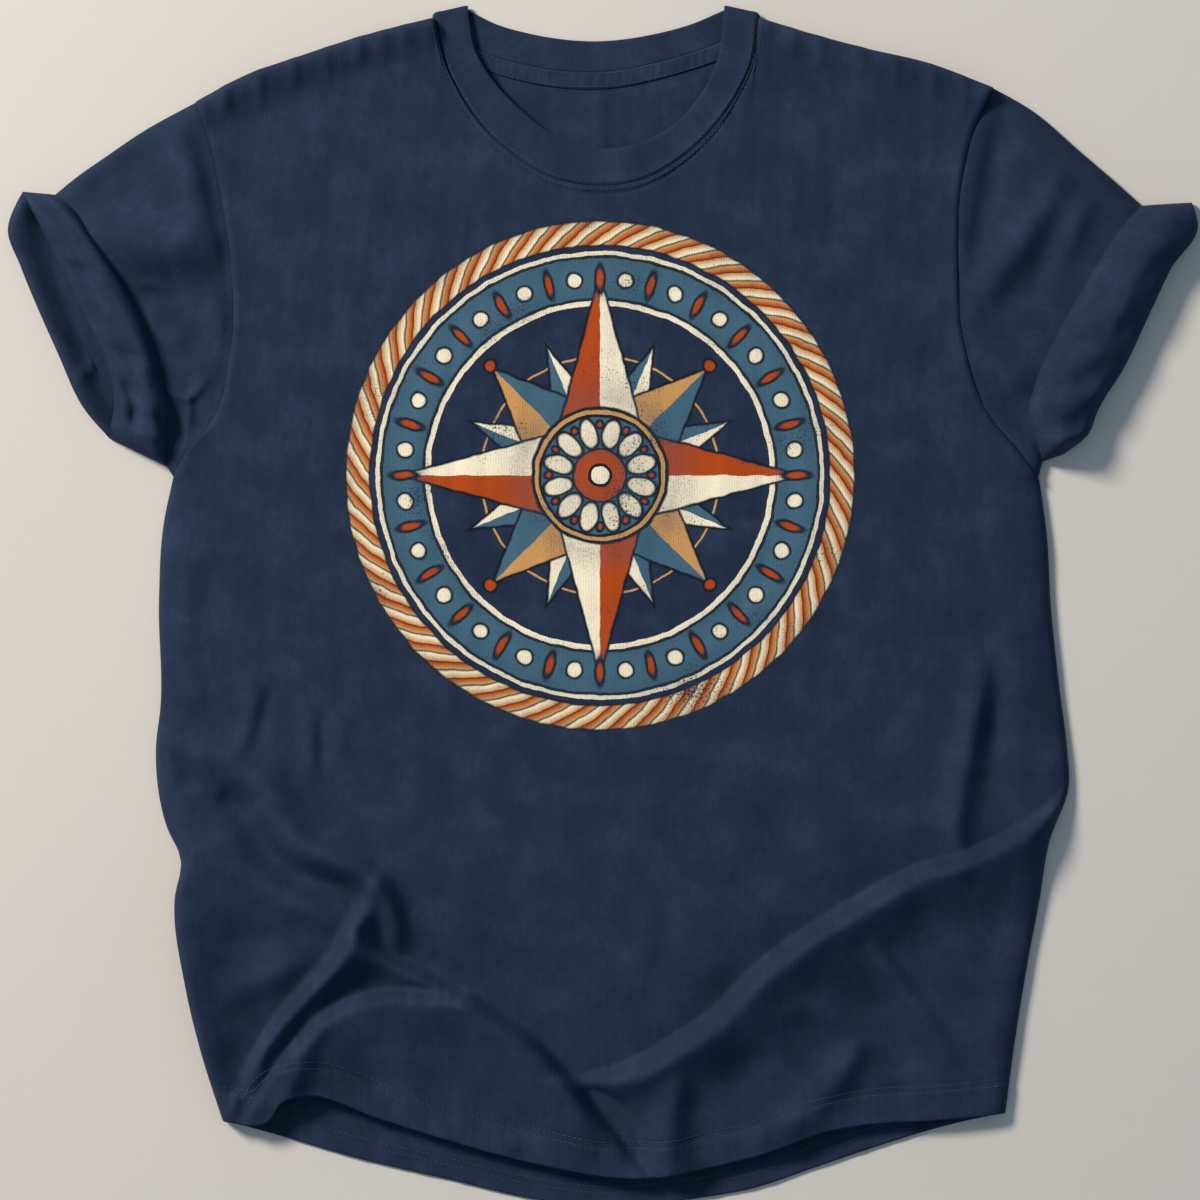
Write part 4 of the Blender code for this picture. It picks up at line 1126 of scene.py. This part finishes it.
def rib_section(seam, free, normal, thick):
    """The neck band's section: a raised edge at the seam, a flat middle, a rolled free edge."""
    normal = np.asarray(normal, float)
    shares, high, low = np.array(RIB_SECTION).T
    high = np.minimum(high, 0.5 + 0.36 * max(normal[2], 0))
    spine = seam + shares[:, None] * (free - seam)
    over = spine + high[:, None] * thick * normal
    below = spine + low[:, None] * thick * normal
    return np.vstack([below, over[::-1]])


def make_collar(settings, material):
    """The neck rib: a flat band once round the neck, folded over at its two tips."""
    thick = settings.rib / MM
    seam_front = moved_out(smooth_curve(FRONT_NECK), -SEAM_TUCK)
    seam_back = moved_out(smooth_curve(BACK_NECK[::-1]), SEAM_TUCK)
    edge_front, edge_back = smooth_curve(FRONT_RIB_EDGE), smooth_curve(BACK_RIB_EDGE[::-1])
    low = thick / 2
    high = low + 2 * COLLAR_FOLD_RADIUS
    middle = low + COLLAR_FOLD_RADIUS
    sections = []

    def fold_over(seam, free, turns):
        """Carries the band round one tip, between its front and its back."""
        for turn in turns:
            out = np.array([0, math.sin(turn), 0])
            level = np.array([0, 0, middle + COLLAR_FOLD_RADIUS * math.cos(turn)])
            sections.append(rib_section(np.append(seam, 0) + COLLAR_FOLD_RADIUS * out + level,
                                        np.append(free, 0) + COLLAR_FOLD_RADIUS * out + level,
                                        out + [0, 0, math.cos(turn)], thick))

    steps = np.linspace(0, 1, 150)
    turns = np.linspace(0, np.pi, 12)[1:-1]
    for t in steps:
        lift = high + FRONT_RIB_RISE * math.sin(math.pi * t) ** 0.7
        lift_free = lift + 0.4 * math.sin(math.pi * t)
        sections.append(rib_section(np.append(seam_front([t])[0], lift),
                                    np.append(edge_front([t])[0], lift_free), [0, 0, 1], thick))
    fold_over(seam_front([1.0])[0], edge_front([1.0])[0], turns)
    for t in steps:
        sections.append(rib_section(np.append(seam_back([t])[0], low), np.append(edge_back([t])[0], low),
                                    [0, 0, -1], thick))
    fold_over(seam_front([0.0])[0], edge_front([0.0])[0], turns[::-1])
    loops = np.array(sections)[:, ::-1]
    count, around = loops.shape[:2]
    along = np.linspace(0, RIB_LENGTH, count)
    across = np.linspace(0, RIB_WIDTH, around // 2)
    across = np.concatenate([across, across[::-1]])
    flat = np.stack(np.broadcast_arrays(along[:, None], across[None, :]), axis=-1)
    return add_tube("neck_rib_knit", loops, flat, material)


def make_tape(settings, material):
    """The tape over the back neck's seam, a little puckered between its two rows of stitching."""
    t = np.linspace(0.1, 0.9, 150)
    seam = smooth_curve(BACK_NECK)(t)
    width, thick = settings.tape_width / MM, settings.tape / MM
    shares = np.linspace(1, 0, 13)
    rows = []
    for share in shares:
        pucker = 0.28 * ripples(seam * [1, 0], 7, 50, settings.seed + 9) * math.sin(math.pi * share)
        edge = -0.3 * (abs(2 * share - 1) ** 8)
        level = settings.jersey / MM + 0.3 + thick + 0.25 * math.sin(math.pi * share) + edge + pucker
        rows.append(np.column_stack([seam - [0, TAPE_FROM_SEAM + share * width], level]))
    top = np.array(rows)
    under = top.copy()
    under[..., 2] = settings.jersey / MM + 0.25
    return add_sheet("neck_tape_woven", top, under, top[..., :2].copy(), material)


def above(lines, pieces, clearance):
    """Lines of x and y in millimetres, laid on the top of the finished pieces."""
    trees = []
    for piece in pieces:
        mesh = bmesh.new()
        mesh.from_mesh(piece.data)
        trees.append(BVHTree.FromBMesh(mesh))
        mesh.free()
    laid = []
    for line in lines:
        points = []
        for x, y in line:
            hits = [tree.ray_cast((x * MM, y * MM, RAY_START), (0, 0, -1))[0] for tree in trees]
            heights = [hit.z / MM for hit in hits if hit]
            if heights:
                points.append((x, y, max(heights) + clearance))
        laid.append(points)
    return laid


def stitch_tree(settings, material):
    """Geometry Nodes that set a short bar of thread at every stitch along each line of a mesh."""
    tree = bpy.data.node_groups.new("stitches", "GeometryNodeTree")
    shape = tree.interface.new_socket("Lines", in_out="INPUT", socket_type="NodeSocketGeometry")
    for name in ("Pitch", "Length", "Thread"):
        tree.interface.new_socket(name, in_out="INPUT", socket_type="NodeSocketFloat")
    tree.interface.new_socket("Stitches", in_out="OUTPUT", socket_type="NodeSocketGeometry")
    given = add_node(tree, "NodeGroupInput").outputs
    curves = add_node(tree, "GeometryNodeMeshToCurve", None, {"Mesh": given[shape.name]})
    even = add_node(tree, "GeometryNodeResampleCurve", {"mode": "LENGTH"},
                    {"Curve": curves.outputs[0], "Length": given["Pitch"]})
    half = add_node(tree, "ShaderNodeMath", {"operation": "MULTIPLY"}, {0: given["Thread"], 1: 0.5})
    bar = add_node(tree, "GeometryNodeMeshCylinder", {"fill_type": "NGON"},
                   {"Vertices": 6, "Radius": half.outputs[0], "Depth": given["Length"]})
    tangent = add_node(tree, "GeometryNodeInputTangent")
    turned = add_node(tree, "FunctionNodeAlignRotationToVector", {"axis": "Z"},
                      {"Vector": tangent.outputs[0]})
    uneven = add_node(tree, "FunctionNodeRandomValue", {"data_type": "FLOAT"},
                      {"Min": 0.82, "Max": 1.08, "Seed": settings.seed})
    placed = add_node(tree, "GeometryNodeInstanceOnPoints", None,
                      {"Points": even.outputs[0], "Instance": bar.outputs["Mesh"],
                       "Rotation": turned.outputs[0], "Scale": uneven.outputs["Value"]})
    real = add_node(tree, "GeometryNodeRealizeInstances", None, {"Geometry": placed.outputs[0]})
    dyed = add_node(tree, "GeometryNodeSetMaterial", None,
                    {"Geometry": real.outputs[0], "Material": material})
    add_node(tree, "NodeGroupOutput", None, {0: dyed.outputs[0]})
    return tree


def add_stitches(name, lines, settings, material):
    """One piece of separate stitches along lines of points in millimetres."""
    points, edges = [], []
    for line in lines:
        edges += [(len(points) + k, len(points) + k + 1) for k in range(len(line) - 1)]
        points += line
    mesh = bpy.data.meshes.new(name)
    mesh.from_pydata((np.array(points) * MM).tolist(), edges, [])
    guide = add_object(name + "_lines", mesh)
    tree = stitch_tree(settings, material)
    modifier = guide.modifiers.new("stitches", "NODES")
    modifier.node_group = tree
    sizes = {"Pitch": settings.stitch_pitch, "Length": settings.stitch_length, "Thread": settings.thread}
    for socket in tree.interface.items_tree:
        if socket.name in sizes:
            modifier[socket.identifier] = sizes[socket.name]
    seen = guide.evaluated_get(bpy.context.evaluated_depsgraph_get())
    made = bpy.data.meshes.new_from_object(seen)
    made.name = name
    guide.modifiers.clear()
    bpy.data.objects.remove(guide)
    return add_object(name, made)


def edge_line(points, distance, start=0.0, end=1.0, count=400):
    """Points along a line that keeps its distance from an edge."""
    return moved_out(smooth_curve(points), distance)(np.linspace(start, end, count)).tolist()


def make_stitches(settings, material):
    """Two rows along each hem, one on each side of the collar's front seam, and two along the tape."""
    hem = settings.hem / MM
    rows = (hem, hem + settings.row_gap / MM)
    clearance = 0.15 * settings.thread / MM
    front, back, rib, tape = (bpy.data.objects[name] for name in
                              ("front_jersey", "back_jersey", "neck_rib_knit", "neck_tape_woven"))
    front_hem = above([edge_line(FRONT_HEM, at, 0.01, 0.99, 700) for at in rows], [front], clearance)
    back_hem = above([edge_line(BACK_HEM, at - BACK_ROWS_LOWER, 0.02, 0.98, 700) for at in rows],
                     [back], clearance)
    neck_rows = above([edge_line(FRONT_NECK, at, 0.02, 0.98) for at in COLLAR_ROWS],
                      [front, rib], clearance)
    width = settings.tape_width / MM
    tape_rows = above([edge_line(BACK_NECK, -TAPE_FROM_SEAM - share * width, 0.11, 0.89)
                       for share in TAPE_ROWS], [tape], clearance)
    yield add_stitches("hem_stitches", front_hem + back_hem, settings, material)
    yield add_stitches("collar_stitches", neck_rows, settings, material)
    yield add_stitches("tape_stitches", tape_rows, settings, material)


def main_camera():
    """A camera that looks straight down on the shirt with the photograph's framing."""
    data = bpy.data.cameras.new("camera")
    data.lens, data.sensor_width = LENS, SENSOR
    data.clip_start, data.clip_end = 0.05, 100
    camera = add_object("camera", data)
    camera.location = (0, 0, FRAME_WIDTH * LENS / SENSOR + CLOTH_HEIGHT)
    bpy.context.scene.camera = camera


def key_light():
    """The one lamp: a round light at the upper left that faces the shirt."""
    data = bpy.data.lights.new("key", "AREA")
    data.shape, data.size, data.energy, data.color = "DISK", KEY_SIZE, KEY_POWER, linear(KEY_COLOUR)
    light = add_object("key", data)
    light.location = KEY_PLACE
    light.rotation_mode = "QUATERNION"
    light.rotation_quaternion = (-light.location).to_track_quat("-Z", "Y")


def make_stage(settings):
    """The painted floor, the camera, the lamp and the pale sky light."""
    material, tree, shader = new_material("matt_floor_paint")
    spot = add_node(tree, "ShaderNodeTexCoord").outputs["Object"]
    grain = add_node(tree, "ShaderNodeTexNoise", None, {"Vector": spot, "Scale": 60.0})
    bump = add_node(tree, "ShaderNodeBump", None,
                    {"Strength": 0.1, "Distance": 0.001, "Height": grain.outputs[0]})
    tree.links.new(bump.outputs["Normal"], shader.inputs["Normal"])
    shader.inputs["Base Color"].default_value = (*settings.floor, 1)
    shader.inputs["Roughness"].default_value = 0.8
    corners = [(x * FLOOR_HALF, y * FLOOR_HALF, FLOOR_LEVEL)
               for x, y in ((-1, -1), (1, -1), (1, 1), (-1, 1))]
    floor = add_mesh("floor", corners, [(0, 1, 2, 3)], material)
    main_camera()
    key_light()
    world = bpy.data.worlds.new("studio")
    bpy.context.scene.world = world
    world.use_nodes = True
    background = world.node_tree.nodes["Background"]
    background.inputs["Color"].default_value = (*linear(SKY_COLOUR), 1)
    background.inputs["Strength"].default_value = SKY_STRENGTH
    bpy.context.scene.view_settings.view_transform = "Standard"


class SHIRT_OT_front(bpy.types.Operator):
    """Build the printed front with its folds"""

    bl_idname = "shirt.front"
    bl_label = "Front"

    def execute(self, context):
        settings = context.scene.shirt
        piece = make_front(settings, printed_material(settings))
        place(piece, ["front_panel"], "printed_jersey")
        return {"FINISHED"}


class SHIRT_OT_back(bpy.types.Operator):
    """Build the back, which lies on the table"""

    bl_idname = "shirt.back"
    bl_label = "Back"

    def execute(self, context):
        settings = context.scene.shirt
        piece = make_back(settings, jersey_material(settings))
        place(piece, ["back_panel"], "jersey")
        return {"FINISHED"}


class SHIRT_OT_sleeves(bpy.types.Operator):
    """Build both sleeves with their turned-up ends"""

    bl_idname = "shirt.sleeves"
    bl_label = "Sleeves"

    def execute(self, context):
        settings = context.scene.shirt
        material = bpy.data.materials["garment_dyed_cotton_jersey"]
        for side, sleeve, rolls, dents in (
                ("left", LEFT_SLEEVE, LEFT_SLEEVE_ROLLS, LEFT_ROLL_DENTS),
                ("right", RIGHT_SLEEVE, RIGHT_SLEEVE_ROLLS, RIGHT_ROLL_DENTS)):
            piece = make_sleeve(side + "_sleeve_jersey", sleeve, rolls, dents, settings, material)
            place(piece, [side + "_sleeve"], "jersey")
        return {"FINISHED"}


class SHIRT_OT_collar(bpy.types.Operator):
    """Build the neck rib and the tape inside it"""

    bl_idname = "shirt.collar"
    bl_label = "Collar"

    def execute(self, context):
        settings = context.scene.shirt
        rib = make_collar(settings, ribbed_material(settings))
        place(rib, ["neck_rib"], "rib")
        tape = make_tape(settings, tape_material(settings))
        place(tape, ["neck_tape"], "tape")
        return {"FINISHED"}


class SHIRT_OT_stitches(bpy.types.Operator):
    """Sew the hems, the collar and the neck tape"""

    bl_idname = "shirt.stitches"
    bl_label = "Stitches"

    def execute(self, context):
        settings = context.scene.shirt
        slots = ("printed_jersey", "rib", "tape")
        for piece, slot in zip(make_stitches(settings, thread_material(settings)), slots):
            place(piece, [], slot)
        return {"FINISHED"}


class SHIRT_OT_stage(bpy.types.Operator):
    """Set the floor, the lights and the camera"""

    bl_idname = "shirt.stage"
    bl_label = "Stage"

    def execute(self, context):
        make_stage(context.scene.shirt)
        return {"FINISHED"}


class SHIRT_PT_panel(bpy.types.Panel):
    """The shirt's settings and steps"""

    bl_idname = "SHIRT_PT_panel"
    bl_label = "T-shirt"
    bl_space_type = "VIEW_3D"
    bl_region_type = "UI"
    bl_category = "T-shirt"

    def draw(self, context):
        for name in ShirtSettings.__annotations__:
            self.layout.prop(context.scene.shirt, name)
        for step in STEPS:
            self.layout.operator(step.bl_idname)


STEPS = (SHIRT_OT_stage, SHIRT_OT_front, SHIRT_OT_back, SHIRT_OT_sleeves, SHIRT_OT_collar,
         SHIRT_OT_stitches)
CLASSES = (ShirtSettings, *STEPS, SHIRT_PT_panel)


def register():
    """Adds the classes and the shirt's settings."""
    for cls in CLASSES:
        bpy.utils.register_class(cls)
    bpy.types.Scene.shirt = PointerProperty(type=ShirtSettings)


def unregister():
    """Takes the settings and the classes away again."""
    del bpy.types.Scene.shirt
    for cls in reversed(CLASSES):
        bpy.utils.unregister_class(cls)


def main():
    """Builds the shirt and its stage."""
    register()
    bpy.ops.shirt.stage()
    bpy.ops.shirt.front()
    bpy.ops.shirt.back()
    bpy.ops.shirt.sleeves()
    bpy.ops.shirt.collar()
    bpy.ops.shirt.stitches()


if __name__ == "__main__":
    main()
